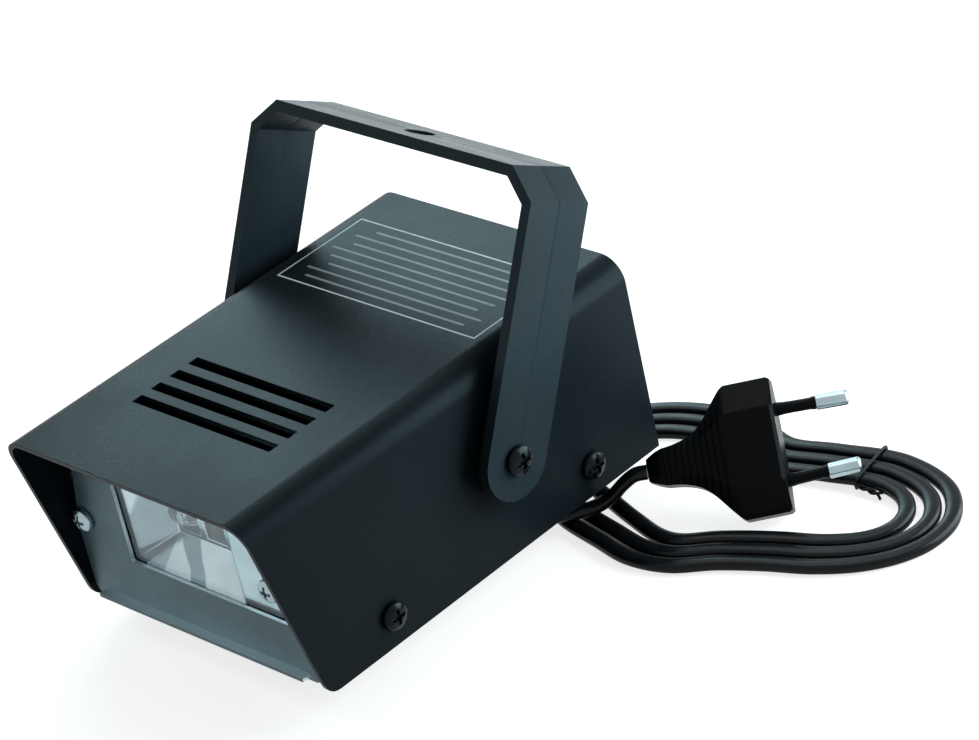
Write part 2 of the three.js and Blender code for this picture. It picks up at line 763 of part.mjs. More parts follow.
// Lamp screws: one through the panel, the other seen through the window, each into a nut
const lampScrewSeats = [['left', lampScrewPlaces[0], panelFace], ['right', lampScrewPlaces[1], paneFace]];
lampScrewSeats.forEach(([side, x, face]) => {
  const screw = place(strobe, `lamp_screw_${side}`,
    panScrew(lampScrewHead, lampScrewHeadRise, lampScrewShank, lampScrewLength), chrome);
  screw.rotation.x = Math.PI / 2;
  screw.position.set(x, face - seatGap, lampScrewHeight);
  const nut = place(strobe, `lamp_nut_${side}`,
    hexNut(lampNutFlats, lampNutHeight, lampScrewShank + seatGap), zinc);
  nut.rotation.x = -Math.PI / 2;
  nut.position.set(x, tabFace + traySheet + seatGap, lampScrewHeight);
});

// Circuit board on four standoffs
const standoffPlaces = [];
for (const y of [boardFront + standoffInset, boardRear - standoffInset]) {
  const x = boardHalfWidth - standoffInset;
  standoffPlaces.push([-x, y], [x, y]);
}
const boardOutline = rectangle(-boardHalfWidth, boardHalfWidth, boardFront, boardRear, standoffRadius);
place(strobe, 'circuit_board', alongZ(boardOutline, boardLevel, boardTop, 3), boardBrown);
standoffPlaces.forEach(([x, y], index) => {
  place(strobe, `standoff_${index + 1}`,
    alongZ(hexagon(x, y, 2 * standoffRadius), traySheet + seatGap, boardLevel - seatGap), zinc);
});

// Storage capacitors lie side by side on the board, with a crimped neck near one end
function capacitor(x) {
  const r = capacitorRadius;
  const fromEnd = (crimps) => capacitorLength - crimps * crimpDepth;
  const profile = [
    [0, 0], [r, 0], [r, fromEnd(4)], [r - crimpDepth, fromEnd(3)], [r, fromEnd(2)],
    [r, fromEnd(1)], [r - crimpDepth, capacitorLength], [0, capacitorLength],
  ];
  return turned(profile, 24).rotateX(-Math.PI / 2).translate(x, capacitorFront, boardTop + seatGap + r);
}
place(strobe, 'storage_capacitor_1', capacitor(lampCentre - capacitorSpread), sleeveBlue);
place(strobe, 'storage_capacitor_2', capacitor(lampCentre + capacitorSpread), sleeveBlue);

// Trigger coil: a winding between two flanges
const componentSeat = boardTop + seatGap;
const coilTop = componentSeat + coilHeight;
const coilProfile = [
  [0, componentSeat], [coilRadius, componentSeat], [coilRadius, componentSeat + coilFlange],
  [coilCore, componentSeat + coilFlange], [coilCore, coilTop - coilFlange],
  [coilRadius, coilTop - coilFlange], [coilRadius, coilTop], [0, coilTop],
];
place(strobe, 'trigger_coil', turned(coilProfile, 20).translate(-sideRowSpread, rearRowPlace, 0), copper);

// Ballast resistor: a cement block lying along the board
place(strobe, 'ballast_resistor', alongZ(
  rectangle(sideRowSpread - resistorSide / 2, sideRowSpread + resistorSide / 2,
    capacitorFront, capacitorFront + resistorLength, coilFlange),
  componentSeat, componentSeat + resistorSide, 3), ceramic);

// Thyristor: a flat package with a bored metal tab
const thyristorFront = rearRowPlace - thyristorDepth / 2;
const thyristorTop = componentSeat + thyristorHeight;
const thyristorOutline = rectangle(-thyristorWidth / 2, thyristorWidth / 2, componentSeat, thyristorTop);
thyristorOutline.holes.push(
  new THREE.Path().absarc(0, thyristorTop - thyristorHoleDrop, thyristorHole, 0, 2 * Math.PI));
place(strobe, 'thyristor',
  alongY(thyristorOutline, thyristorFront, thyristorFront + thyristorDepth), knobPlastic);

// Speed control: potentiometer, its nut, its shaft and the fluted knob
const knob = new THREE.Group();
knob.position.set(controlSide, 0, controlHeight);
strobe.add(knob);
const potFace = rearWallInner - seatGap;
const bushEnd = trayRear + seatGap + potNutHeight + bushProud;
const shaftRoot = potFace - shaftSocket;
const knobBase = bushEnd + knobStandoff;
const knobEnd = knobBase + knobLength;
const shaftEnd = knobEnd - knobFaceCap - runGap;

function makePot() {
  const body = solid(alongY(disc(controlSide, controlHeight, potRadius), potFace - potDepth, potFace, 16));
  const bush = solid(alongY(disc(controlSide, controlHeight, bushRadius), potFace - overrun, bushEnd, 12));
  const boreOutline = disc(controlSide, controlHeight, shaftRadius + runGap);
  const bore = solid(alongY(boreOutline, shaftRoot, bushEnd + overrun, 12));
  return shape(cut(joined(body, bush), bore));
}
place(strobe, 'potentiometer', makePot(), zinc);
const potNut = place(strobe, 'potentiometer_nut',
  hexNut(potNutFlats, potNutHeight, bushRadius + seatGap), zinc);
potNut.rotation.x = -Math.PI / 2;
potNut.position.set(controlSide, trayRear + seatGap, controlHeight);
place(knob, 'control_shaft', alongY(disc(0, 0, shaftRadius), shaftRoot + seatGap, shaftEnd, 12), zinc);

function makeKnob() {
  const profile = [
    [0, knobBase], [knobRadius, knobBase], [knobRadius, knobBase + knobSkirt],
    [knobTopRadius, knobBase + knobSkirt], [knobTopRadius, knobEnd - knobFluteRadius],
    [knobTopRadius - knobFluteRadius, knobEnd], [0, knobEnd],
  ];
  const body = solid(turned(profile, 36).rotateX(-Math.PI / 2));
  const socket = disc(0, 0, shaftRadius + seatGap);
  const bore = solid(alongY(socket, knobBase - overrun, knobEnd - knobFaceCap, 12));
  const flutes = [];
  for (let flute = 0; flute < knobFlutes; flute += 1) {
    const angle = (flute + 0.5) / knobFlutes * 2 * Math.PI;
    const centre = knobTopRadius + knobFluteSet;
    flutes.push(solid(alongY(disc(centre * Math.cos(angle), centre * Math.sin(angle), knobFluteRadius),
      knobBase + knobSkirt, knobEnd + overrun, 4)));
  }
  const pointer = boxBetween(-pointerWidth / 2, pointerWidth / 2,
    knobEnd - pointerDepth, knobEnd + overrun, knobTopRadius * pointerStartShare, knobTopRadius);
  return shape(cut(body, bore, ...flutes, pointer));
}
place(knob, 'speed_knob', makeKnob(), knobPlastic);

// Cord boot: a flange each side of the rear wall and a grooved taper
function makeBoot() {
  const inner = rearWallInner - seatGap;
  const outer = trayRear + seatGap;
  const root = outer + bootFlangeDepth;
  const profile = [
    [0, inner - bootFlangeDepth], [bootFlange, inner - bootFlangeDepth], [bootFlange, inner],
    [bootNeck, inner], [bootNeck, outer], [bootFlange, outer], [bootFlange, root], [bootRoot, root],
  ];
  const ringPitch = bootLength / (bootRings + 2);
  const radiusAt = (distance) => bootRoot + (bootTip - bootRoot) * distance / bootLength;
  for (let ring = 0; ring < bootRings; ring += 1) {
    const start = (ring + bootFirstShare) * ringPitch;
    const end = start + ringPitch / 2;
    profile.push([radiusAt(start), root + start], [radiusAt(start) - bootGroove, root + start]);
    profile.push([radiusAt(end) - bootGroove, root + end], [radiusAt(end), root + end]);
  }
  profile.push([bootTip, root + bootLength], [0, root + bootLength]);
  return turned(profile, 20).rotateX(-Math.PI / 2).translate(bootSide, 0, bootLevel);
}
place(strobe, 'cord_boot', makeBoot(), rubber);

// Bracket, made upright about its pivot and then leaned back
const bracketPivot = new THREE.Group();
bracketPivot.position.set(0, pivotPlace, pivotHeight);
bracketPivot.rotation.x = -THREE.MathUtils.degToRad(restLean);
strobe.add(bracketPivot);

function strapLine(halfWidth, reach, chamferWidth, chamferHeight, foot) {
  return [
    [halfWidth, foot], [halfWidth, reach - chamferHeight], [halfWidth - chamferWidth, reach],
    [-halfWidth + chamferWidth, reach], [-halfWidth, reach - chamferHeight], [-halfWidth, foot],
  ];
}

function makeBracket() {
  const t = strapThickness;
  const depthHalf = strapDepth / 2;
  const chamferAngle = Math.atan2(strapChamferHeight, strapChamferWidth);
  const outerLine = strapLine(strapHalfWidth, strapReach, strapChamferWidth, strapChamferHeight, -strapFoot);
  const innerHalfWidth = strapHalfWidth - t;
  const innerReach = strapReach - t;
  const cornerDrop = t * Math.tan((Math.PI / 2 - chamferAngle) / 2);
  const cornerIn = strapChamferWidth + t * Math.tan(chamferAngle / 2);
  const innerLine = [
    [innerHalfWidth, -strapFoot - overrun],
    [innerHalfWidth, strapReach - strapChamferHeight - cornerDrop],
    [strapHalfWidth - cornerIn, innerReach],
    [-strapHalfWidth + cornerIn, innerReach],
    [-innerHalfWidth, strapReach - strapChamferHeight - cornerDrop],
    [-innerHalfWidth, -strapFoot - overrun],
  ];
  const outer = solid(alongY(polygon(outerLine), -depthHalf, depthHalf));
  const inner = solid(alongY(polygon(innerLine), -depthHalf - overrun, depthHalf + overrun));
  const profile = new THREE.Shape();
  profile.moveTo(-depthHalf, strapReach + overrun);
  profile.lineTo(-depthHalf, -strapFoot + depthHalf);
  profile.absarc(0, -strapFoot + depthHalf, depthHalf, Math.PI, 2 * Math.PI);
  profile.lineTo(depthHalf, strapReach + overrun);
  const rounding = solid(alongX(profile, -caseWidth, caseWidth, 12));
  const barHole = solid(alongZ(disc(0, 0, strapHole), innerReach - overrun, strapReach + overrun, 12));
  return shape(cut(cut(outer, inner).intersect(rounding), boreAcross(0, 0, pivotShank + runGap), barHole));
}
place(bracketPivot, 'bracket', makeBracket(), plastic);

// Pivot screws, their nuts inside the case and the spacers that hold the strap off it
const spacerLength = strapHalfWidth - strapThickness - halfCase - 2 * seatGap;
const pivotStack = strapHalfWidth - innerHalf + pivotNutHeight + 2 * seatGap;
const pivotScrewLength = pivotStack + pivotTail;
for (const { side, sign } of screwSides) {
  const screw = place(strobe, `pivot_screw_${side}`,
    panScrew(pivotHead, pivotHeadRise, pivotShank, pivotScrewLength), blackSteel);
  screw.rotation.y = sign * Math.PI / 2;
  screw.position.set(sign * (strapHalfWidth + seatGap), pivotPlace, pivotHeight);
  const nut = place(strobe, `pivot_nut_${side}`,
    hexNut(pivotNutFlats, pivotNutHeight, pivotShank + seatGap), zinc);
  nut.rotation.y = -sign * Math.PI / 2;
  nut.position.set(sign * (innerHalf - seatGap), pivotPlace, pivotHeight);
  const ring = disc(0, 0, spacerRadius);
  ring.holes.push(new THREE.Path().absarc(0, 0, pivotShank + runGap, 0, 2 * Math.PI));
  const spacer = place(strobe, `pivot_spacer_${side}`, alongZ(ring, 0, spacerLength), plastic);
  spacer.rotation.y = sign * Math.PI / 2;
  spacer.position.set(sign * (halfCase + seatGap), pivotPlace, pivotHeight);
}

// Hank outline: place and heading at an angle, for a turn drawn in by an inset
function hankPoint(angle, inset) {
  let share = 1;
  let slope = 0;
  for (const { waves, cosShare, sinShare } of hankWaveShares) {
    share += cosShare * Math.cos(waves * angle) + sinShare * Math.sin(waves * angle);
    slope += waves * (sinShare * Math.cos(waves * angle) - cosShare * Math.sin(waves * angle));
  }
  const radius = hankRadius * share;
  const growth = hankRadius * slope;
  const along = new THREE.Vector3(
    growth * Math.cos(angle) - radius * Math.sin(angle),
    growth * Math.sin(angle) + radius * Math.cos(angle), 0).normalize();
  const inward = new THREE.Vector3(-along.y, along.x, 0);
  const point = new THREE.Vector3(
    hankMiddleX + radius * Math.cos(angle), hankMiddleY + radius * Math.sin(angle), cordLevel);
  return { point: point.addScaledVector(inward, inset), along: along.negate() };
}

// The cord lifts a little where the tie passes under it
const tieTurn = THREE.MathUtils.degToRad(tieAngle);
function tieLift(angle) {
  const away = Math.atan2(Math.sin(angle - tieTurn), Math.cos(angle - tieTurn));
  const humpShare = Math.abs(away) / THREE.MathUtils.degToRad(tieHumpAngle);
  return humpShare < 1 ? (tieThickness + seatGap) * Math.cos(humpShare * Math.PI / 2) ** 2 : 0;
}

function hankRoute() {
  const steps = Math.round(hankLoops * hankStepsPerLoop);
  const start = THREE.MathUtils.degToRad(hankStartAngle);
  const turns = [];
  for (let step = 0; step <= steps; step += 1) {
    const evenAngle = start - step / hankStepsPerLoop * 2 * Math.PI;
    const angle = evenAngle - hankCrowdShare * Math.sin(2 * evenAngle);
    const peelShare = Math.max(0, 1 - (steps - step) / hankPeelSteps);
    const inset = hankPitch * step / hankStepsPerLoop + hankPeel * peelShare ** 2;
    const { point, along } = hankPoint(angle, inset);
    point.z += tieLift(angle);
    turns.push({ point, along });
  }
  return turns;
}

const hankTurns = hankRoute();
const hankStart = hankTurns[0];
const hankEnd = hankTurns[hankTurns.length - 1];
const hankPoints = [
  hankStart.point.clone().addScaledVector(hankStart.along, -cordStraight),
  ...hankTurns.map(({ point }) => point),
  hankEnd.point.clone().addScaledVector(hankEnd.along, cordStraight),
];

// Least distance between two turns, less the cord's width
function leastHankGap() {
  let least = Infinity;
  for (let index = 0; index + 1 < hankPoints.length; index += 1) {
    const edge = new THREE.Line3(hankPoints[index], hankPoints[index + 1]);
    const nearest = new THREE.Vector3();
    for (let other = index + hankStepsPerLoop / 2; other < hankPoints.length; other += 1) {
      edge.closestPointToPoint(hankPoints[other], true, nearest);
      least = Math.min(least, nearest.distanceTo(hankPoints[other]) - cordWidth);
    }
  }
  return least;
}
console.log(`least gap between the hank's turns: ${leastHankGap().toFixed(2)} mm`);
const cordSection = flatSection(cordWidth, cordThickness);
place(strobe, 'cord_hank', sweep(hankPoints, cordSection), flex);

// A place measured from the case's rear right corner
function fromCorner(beside, behind, level) {
  return new THREE.Vector3(halfCase + beside, caseLength + behind, level);
}

// Lead from the boot to the inner turn of the hank, and tail from its outer turn to the plug
function cordRun(start, route, end, steps) {
  const curve = new THREE.CatmullRomCurve3(route, false, 'centripetal');
  return sweep([start, ...curve.getSpacedPoints(steps), end], cordSection);
}

const leadStart = new THREE.Vector3(bootSide, bootTipFace + cordJoint, bootLevel);
const leadEnd = hankPoints[hankPoints.length - 1].clone().addScaledVector(hankEnd.along, cordJoint);
const leadRoute = [
  new THREE.Vector3(bootSide, bootTipFace + cordJoint + cordStraight, bootLevel),
  fromCorner(-71.8, 31, 10.2),
  fromCorner(-66, 38.5, 7.4),
  fromCorner(-55, 41, 3.8),
  fromCorner(-43, 35.5, 0.6),
  fromCorner(-32.5, 25, -1.8),
  fromCorner(-25, 15.5, -2.5),
  fromCorner(-19.4, 6, -2.6),
  fromCorner(-17.6, -3, -4.4),
  fromCorner(-17.8, -10.2, -6.1),
  fromCorner(-15.4, -14.8, -6.4),
  leadEnd.clone().addScaledVector(hankEnd.along, cordStraight),
];
place(strobe, 'cord_lead', cordRun(leadStart, leadRoute, leadEnd, 44), flex);

// Plug: its own frame has X along the pins, Z across the wide face and -Y out of it
const plug = new THREE.Group();
const lean = THREE.MathUtils.degToRad(plugLean);
const pitch = THREE.MathUtils.degToRad(plugPitch);
const plugLevel = floorLevel + plugHalfWidth * Math.cos(lean) + plugEdgeHalf * Math.sin(lean)
  + plugBody * Math.sin(pitch) + seatGap;
plug.rotation.order = 'ZYX';
plug.rotation.set(-lean, -pitch, THREE.MathUtils.degToRad(plugHeading));
plug.position.set(plugX, plugY, plugLevel);
plug.updateMatrix();
strobe.add(plug);

function makePlug() {
  const face = new THREE.Shape();
  const shoulderX = -plugBody - plugBevel;
  const waistX = -plugLength + 2 * plugBevel;
  const waistHalf = gripHalfWidth * gripWaistShare;
  face.moveTo(0, plugHalfWidth);
  face.lineTo(-plugBody, plugHalfWidth);
  face.bezierCurveTo(shoulderX, plugHalfWidth / 2, waistX, waistHalf, -plugLength, gripHalfWidth);
  face.lineTo(-plugLength, -gripHalfWidth);
  face.bezierCurveTo(waistX, -waistHalf, shoulderX, -plugHalfWidth / 2, -plugBody, -plugHalfWidth);
  face.lineTo(0, -plugHalfWidth);
  const blank = solid(alongY(face, -plugHalfThickness, plugHalfThickness, 8));
  const crossLine = [
    [plugEdgeHalf, plugHalfWidth + overrun], [plugEdgeHalf, plugHalfWidth],
    [plugHalfThickness, plugHalfWidth - plugBevel], [plugHalfThickness, -plugHalfWidth + plugBevel],
    [plugEdgeHalf, -plugHalfWidth], [plugEdgeHalf, -plugHalfWidth - overrun],
  ];
  const crossSection = polygon([...crossLine, ...crossLine.map(([u, v]) => [-u, v]).reverse()]);
  const bevelled = solid(alongX(crossSection, -plugLength - overrun, overrun));
  const clear = plugHalfThickness + overrun;
  const taper = polygon([
    [overrun, clear], [-plugBody, clear], [-plugBody, plugHalfThickness],
    [-plugLength, gripHalfThickness], [-plugLength, -gripHalfThickness],
    [-plugBody, -plugHalfThickness], [-plugBody, -clear], [overrun, -clear],
  ]);
  const tapered = solid(alongZ(taper, -plugHalfWidth - overrun, plugHalfWidth + overrun));
  const grooves = [];
  for (let rib = 0; rib < gripRibs; rib += 1) {
    const x = -plugBody - gripRibPitch * (rib + gripFirstShare);
    const share = (-x - plugBody) / (plugLength - plugBody);
    const faceHalf = plugHalfThickness + (gripHalfThickness - plugHalfThickness) * share;
    const ribHalf = plugHalfWidth * (1 - share) * ribWideShare + gripHalfWidth * ribNarrowShare;
    for (const sign of [-1, 1]) {
      const [low, high] = [sign * faceHalf, sign * (faceHalf - gripRibDepth)].sort((a, b) => a - b);
      grooves.push(boxBetween(x - gripRibPitch / 4, x + gripRibPitch / 4, low, high, -ribHalf, ribHalf));
    }
  }
  const sockets = [-1, 1].map((sign) => solid(alongX(
    disc(0, sign * pinSpacing / 2, sleeveRadius + seatGap), -plugBody / 2, overrun, 8)));
  return shape(cut(blank.intersect(bevelled).intersect(tapered), ...grooves, ...sockets));
}
place(plug, 'plug_body', makePlug(), knobPlastic);

// Pins: a bare round-ended tip on a thin core, with a plastic sleeve round the core
const pinRoot = -plugBody / 2 + seatGap;
const tipStart = pinSleeve + seatGap;
[1, -1].forEach((sign, index) => {
  const z = sign * pinSpacing / 2;
  const tipProfile = [
    [0, pinRoot], [pinCore, pinRoot], [pinCore, tipStart], [pinRadius, tipStart],
    [pinRadius, pinLength - pinRound], [pinRadius - pinRound, pinLength], [0, pinLength],
  ];
  const sleeveProfile = [
    [pinCore + seatGap, pinRoot], [sleeveRadius, pinRoot], [sleeveRadius, pinSleeve],
    [pinCore + seatGap, pinSleeve], [pinCore + seatGap, pinRoot],
  ];
  const tip = turned(tipProfile, 16).rotateY(Math.PI / 2).translate(0, 0, z);
  const sleeve = turned(sleeveProfile, 16).rotateY(Math.PI / 2).translate(0, 0, z);
  place(plug, `plug_pin_${index + 1}`, tip, chrome);
  place(plug, `pin_sleeve_${index + 1}`, sleeve, knobPlastic);
});

const gripFace = -plugLength - cordJoint;
const gripEnd = new THREE.Vector3(gripFace, 0, 0).applyMatrix4(plug.matrix);
const gripStraight = new THREE.Vector3(gripFace - cordStraight, 0, 0).applyMatrix4(plug.matrix);
const tailStart = hankPoints[0].clone().addScaledVector(hankStart.along, -cordJoint);
const tailRoute = [
  tailStart.clone().addScaledVector(hankStart.along, -cordStraight),
  fromCorner(-13, -35.8, -5.2),
  fromCorner(-9, -36.4, -3.4),
  fromCorner(-4.5, -33.6, -2.5),
  fromCorner(0.6, -27.8, -2.5),
  fromCorner(4.3, -24.2, -0.3),
  fromCorner(7.4, -21.5, 3.4),
  gripStraight,
];
place(strobe, 'cord_tail', cordRun(tailStart, tailRoute, gripEnd, 30), flex);

// Tie: a band round the turns, its twisted end lying on the floor
const tieInset = hankPitch * (1 + (hankStartAngle - tieAngle) / 360);
const tieMiddle = hankPoint(tieTurn, tieInset);
function makeTie() {
  const turnsHalf = hankPitch + cordWidth / 2 + seatGap + tieSlack;
  const liftedTop = cordThickness / 2 + seatGap;
  const outer = rectangle(-turnsHalf - tieThickness, turnsHalf + tieThickness,
    -liftedTop - tieThickness, liftedTop + tieThickness, tieThickness);
  const inner = rectangle(-turnsHalf, turnsHalf, -liftedTop, liftedTop, tieThickness / 2);
  const band = cut(solid(alongX(outer, -tieBreadth / 2, tieBreadth / 2, 3)),
    solid(alongX(inner, -tieBreadth, tieBreadth, 2)));
  const end = boxBetween(-tieBreadth / 2, tieBreadth / 2, turnsHalf, turnsHalf + tieThickness + tieTail,
    -liftedTop - tieThickness, -liftedTop);
  return shape(joined(band, end));
}
const tie = place(strobe, 'cord_tie', makeTie(), flex);
tie.position.copy(tieMiddle.point).setZ(cordLevel + tieThickness + seatGap);
tie.rotation.z = Math.atan2(tieMiddle.along.y, tieMiddle.along.x);

// The origin stands under the middle of the case, bracket and knob together
const partMiddle = (knobEnd - rake) / 2;
strobe.position.set(0, -partMiddle, footHeight);

export default strobe;
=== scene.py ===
"""Looks of a compact strobe light: sheet metal case, lamp behind a raked hood, bracket and coiled cord."""

import logging
import math
from collections.abc import Callable, Sequence
from dataclasses import dataclass
from enum import Enum

import bmesh
import bpy
from mathutils import Matrix, Vector


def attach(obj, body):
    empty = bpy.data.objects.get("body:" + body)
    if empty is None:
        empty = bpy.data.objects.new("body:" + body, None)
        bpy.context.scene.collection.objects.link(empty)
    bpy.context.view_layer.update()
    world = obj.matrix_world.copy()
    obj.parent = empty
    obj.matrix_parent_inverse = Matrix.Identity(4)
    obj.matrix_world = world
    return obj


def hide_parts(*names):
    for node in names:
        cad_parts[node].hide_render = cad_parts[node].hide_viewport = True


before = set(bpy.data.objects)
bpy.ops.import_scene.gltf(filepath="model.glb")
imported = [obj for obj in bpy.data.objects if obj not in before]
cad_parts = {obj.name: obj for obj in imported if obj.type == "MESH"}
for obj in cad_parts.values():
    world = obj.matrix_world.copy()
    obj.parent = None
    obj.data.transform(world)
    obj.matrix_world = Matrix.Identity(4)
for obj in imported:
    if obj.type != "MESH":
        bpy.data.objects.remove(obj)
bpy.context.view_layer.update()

Colour = tuple[float, float, float]
Triple = tuple[float, float, float]
Socket = bpy.types.NodeSocket

LOG = logging.getLogger("strobe")
MM = 0.001
FULL_TURN = 2 * math.pi
UP = Vector((0.0, 0.0, 1.0))
WHITE: Colour = (1.0, 1.0, 1.0)


class Texture(Enum):
    """How a finish feels close up."""

    PEEL = "orange peel of a powder coat"
    SPARK = "eroded mould surface"
    BRUSHED = "fine parallel scratches"
    SMOOTH = "soft ripple of a polished or drawn surface"


class Body(Enum):
    """The rigid bodies of the strobe."""

    HOUSING = "housing"
    BRACKET = "bracket"
    KNOB = "knob"


@dataclass(frozen=True)
class Place:
    """Turns lengths measured on the case into points of the model.

    The case's own frame is in millimetres, to the right, to the rear and up. It has its zero at the cover's lower
    front corner, half way across.
    """

    middle: float = 61.475
    foot_height: float = 8.0

    def at(self, x: float, y: float, z: float) -> Vector:
        """The point of the model, in metres, at a place given in the case's frame."""
        return Vector((x, y - self.middle, z + self.foot_height)) * MM


CASE = Place()


def squared(value: float, power: float) -> float:
    """A sine or cosine raised to a power below one, which squares a round outline; it keeps its sign."""
    return math.copysign(abs(value) ** power, value)


def placed(name: str, data: bpy.types.ID) -> bpy.types.Object:
    """Puts some data into the scene.

    Args:
        name: The object's name.
        data: Its mesh, curve, lamp or camera.

    Returns:
        The object, at the origin.
    """
    made = bpy.data.objects.new(name, data)
    bpy.context.scene.collection.objects.link(made)
    return made


def mesh_of(shape: bmesh.types.BMesh, name: str, place: Matrix | None = None) -> bpy.types.Mesh:
    """Turns a shape into a mesh and lets the shape go.

    Args:
        shape: The shape.
        name: The mesh's name.
        place: For a shape made in millimetres in a frame of its own, that frame's matrix in the case's frame.

    Returns:
        The mesh.
    """
    if place is not None:
        for vert in shape.verts:
            vert.co = CASE.at(*(place @ vert.co))
    mesh = bpy.data.meshes.new(name)
    shape.to_mesh(mesh)
    shape.free()
    return mesh


def drawn_solid(name: str, line: bpy.types.Curve) -> bpy.types.Mesh:
    """Makes the solid that a curve draws.

    Args:
        name: The curve's name.
        line: The curve, with its bevel set.

    Returns:
        The solid's mesh.
    """
    line.dimensions = "3D"
    line.use_fill_caps = True
    maker = placed(name, line)
    bpy.context.view_layer.update()
    mesh = bpy.data.meshes.new_from_object(maker.evaluated_get(bpy.context.evaluated_depsgraph_get()))
    bpy.data.objects.remove(maker)
    return mesh


def broken_edges(shape: bmesh.types.BMesh, edges: list[bmesh.types.BMEdge], width: float, segments: int) -> None:
    """Bevels edges by a width, in the shape's own unit, in so many steps."""
    bmesh.ops.bevel(shape, geom=edges, offset=width, offset_type="OFFSET", affect="EDGES", segments=segments,
                    profile=0.5, clamp_overlap=True, material=-1)


class Graph:
    """A node tree with short ways to add and join its nodes."""

    def __init__(self, tree: bpy.types.NodeTree) -> None:
        """Keeps the tree that the nodes go into."""
        self.tree = tree

    def add(self, kind: str, inputs: dict[int | str, object] | None = None, **settings: object) -> bpy.types.Node:
        """Adds a node.

        Args:
            kind: The node's type.
            inputs: What its inputs are fed with, by name or number.
            **settings: Properties of the node.

        Returns:
            The new node.
        """
        node = self.tree.nodes.new(kind)
        for key, value in settings.items():
            setattr(node, key, value)
        self.feed(node, inputs or {})
        return node

    def feed(self, node: bpy.types.Node, inputs: dict[int | str, object]) -> None:
        """Joins sockets to a node's inputs, or sets their values.

        Args:
            node: The node that is fed.
            inputs: A socket or a constant for each input, by name or number.
        """
        for slot, source in inputs.items():
            if isinstance(source, bpy.types.NodeSocket):
                self.tree.links.new(source, node.inputs[slot])
            else:
                node.inputs[slot].default_value = source

    def math(self, operation: str, *operands: object) -> Socket:
        """The result of a Math node whose operands are sockets or numbers."""
        return self.add("ShaderNodeMath", dict(enumerate(operands)), operation=operation).outputs[0]

    def product(self, *factors: object) -> Socket:
        """The product of sockets or numbers.

        Args:
            *factors: The factors, two or more.

        Returns:
            The product's socket.
        """
        result, *others = factors
        for factor in others:
            result = self.math("MULTIPLY", result, factor)
        return result

    def mix(self, factor: object, low: object, high: object) -> Socket:
        """A colour between two colours: low at factor nought, high at factor one."""
        return self.add("ShaderNodeMix", {0: factor, 6: low, 7: high}, data_type="RGBA").outputs[2]

    def span(self, value: object, low: float, high: float, start: float = 0.0, end: float = 1.0) -> Socket:
        """A value mapped so that low becomes start and high becomes end, and clamped there."""
        return self.add("ShaderNodeMapRange", dict(enumerate((value, low, high, start, end)))).outputs[0]

    def parts(self, vector: Socket) -> list[Socket]:
        """The x, y and z of a vector."""
        return list(self.add("ShaderNodeSeparateXYZ", {0: vector}).outputs)


class Surface(Graph):
    """A material's nodes, whose patterns all read the object coordinates."""

    def __init__(self, tree: bpy.types.NodeTree) -> None:
        """Adds the coordinates."""
        super().__init__(tree)
        self.coordinates = self.add("ShaderNodeTexCoord").outputs["Object"]

    def use(self, tree: bpy.types.NodeTree, **values: object) -> bpy.types.Node:
        """A shared group placed in the material; its inputs are given with spaces written as underscores."""
        values = {key.replace("_", " "): value for key, value in values.items()}
        return self.add("ShaderNodeGroup", {"Vector": self.coordinates, **values}, node_tree=tree)


class Group(Graph):
    """A shader node group in the making."""

    def __init__(self, name: str, **inputs: object) -> None:
        """Starts the group.

        Args:
            name: The group's name.
            **inputs: For each input its default, a number or three, with spaces written as underscores.
        """
        super().__init__(bpy.data.node_groups.new(name, "ShaderNodeTree"))
        for key, value in inputs.items():
            kind = "NodeSocketVector" if isinstance(value, tuple) else "NodeSocketFloat"
            made = self.tree.interface.new_socket(key.replace("_", " "), in_out="INPUT", socket_type=kind)
            made.default_value = value
        self.given = self.add("NodeGroupInput").outputs

    def noise(self, vector: Socket, detail: float, roughness: float = 0.55) -> Socket:
        """Adds a noise texture whose grain is the group's Size.

        Args:
            vector: Coordinates.
            detail: Number of octaves.
            roughness: Weight of the finer octaves.

        Returns:
            The noise value's socket.
        """
        scale = self.math("DIVIDE", 1.0, self.given["Size"])
        inputs = {"Vector": vector, "Scale": scale, "Detail": detail, "Roughness": roughness}
        return self.add("ShaderNodeTexNoise", inputs).outputs[0]

    def done(self, **outputs: Socket) -> bpy.types.NodeTree:
        """Gives the group its outputs.

        Args:
            **outputs: A socket for each output.

        Returns:
            The finished group.
        """
        for key in outputs:
            self.tree.interface.new_socket(key, in_out="OUTPUT", socket_type="NodeSocketFloat")
        self.add("NodeGroupOutput", outputs)
        return self.tree


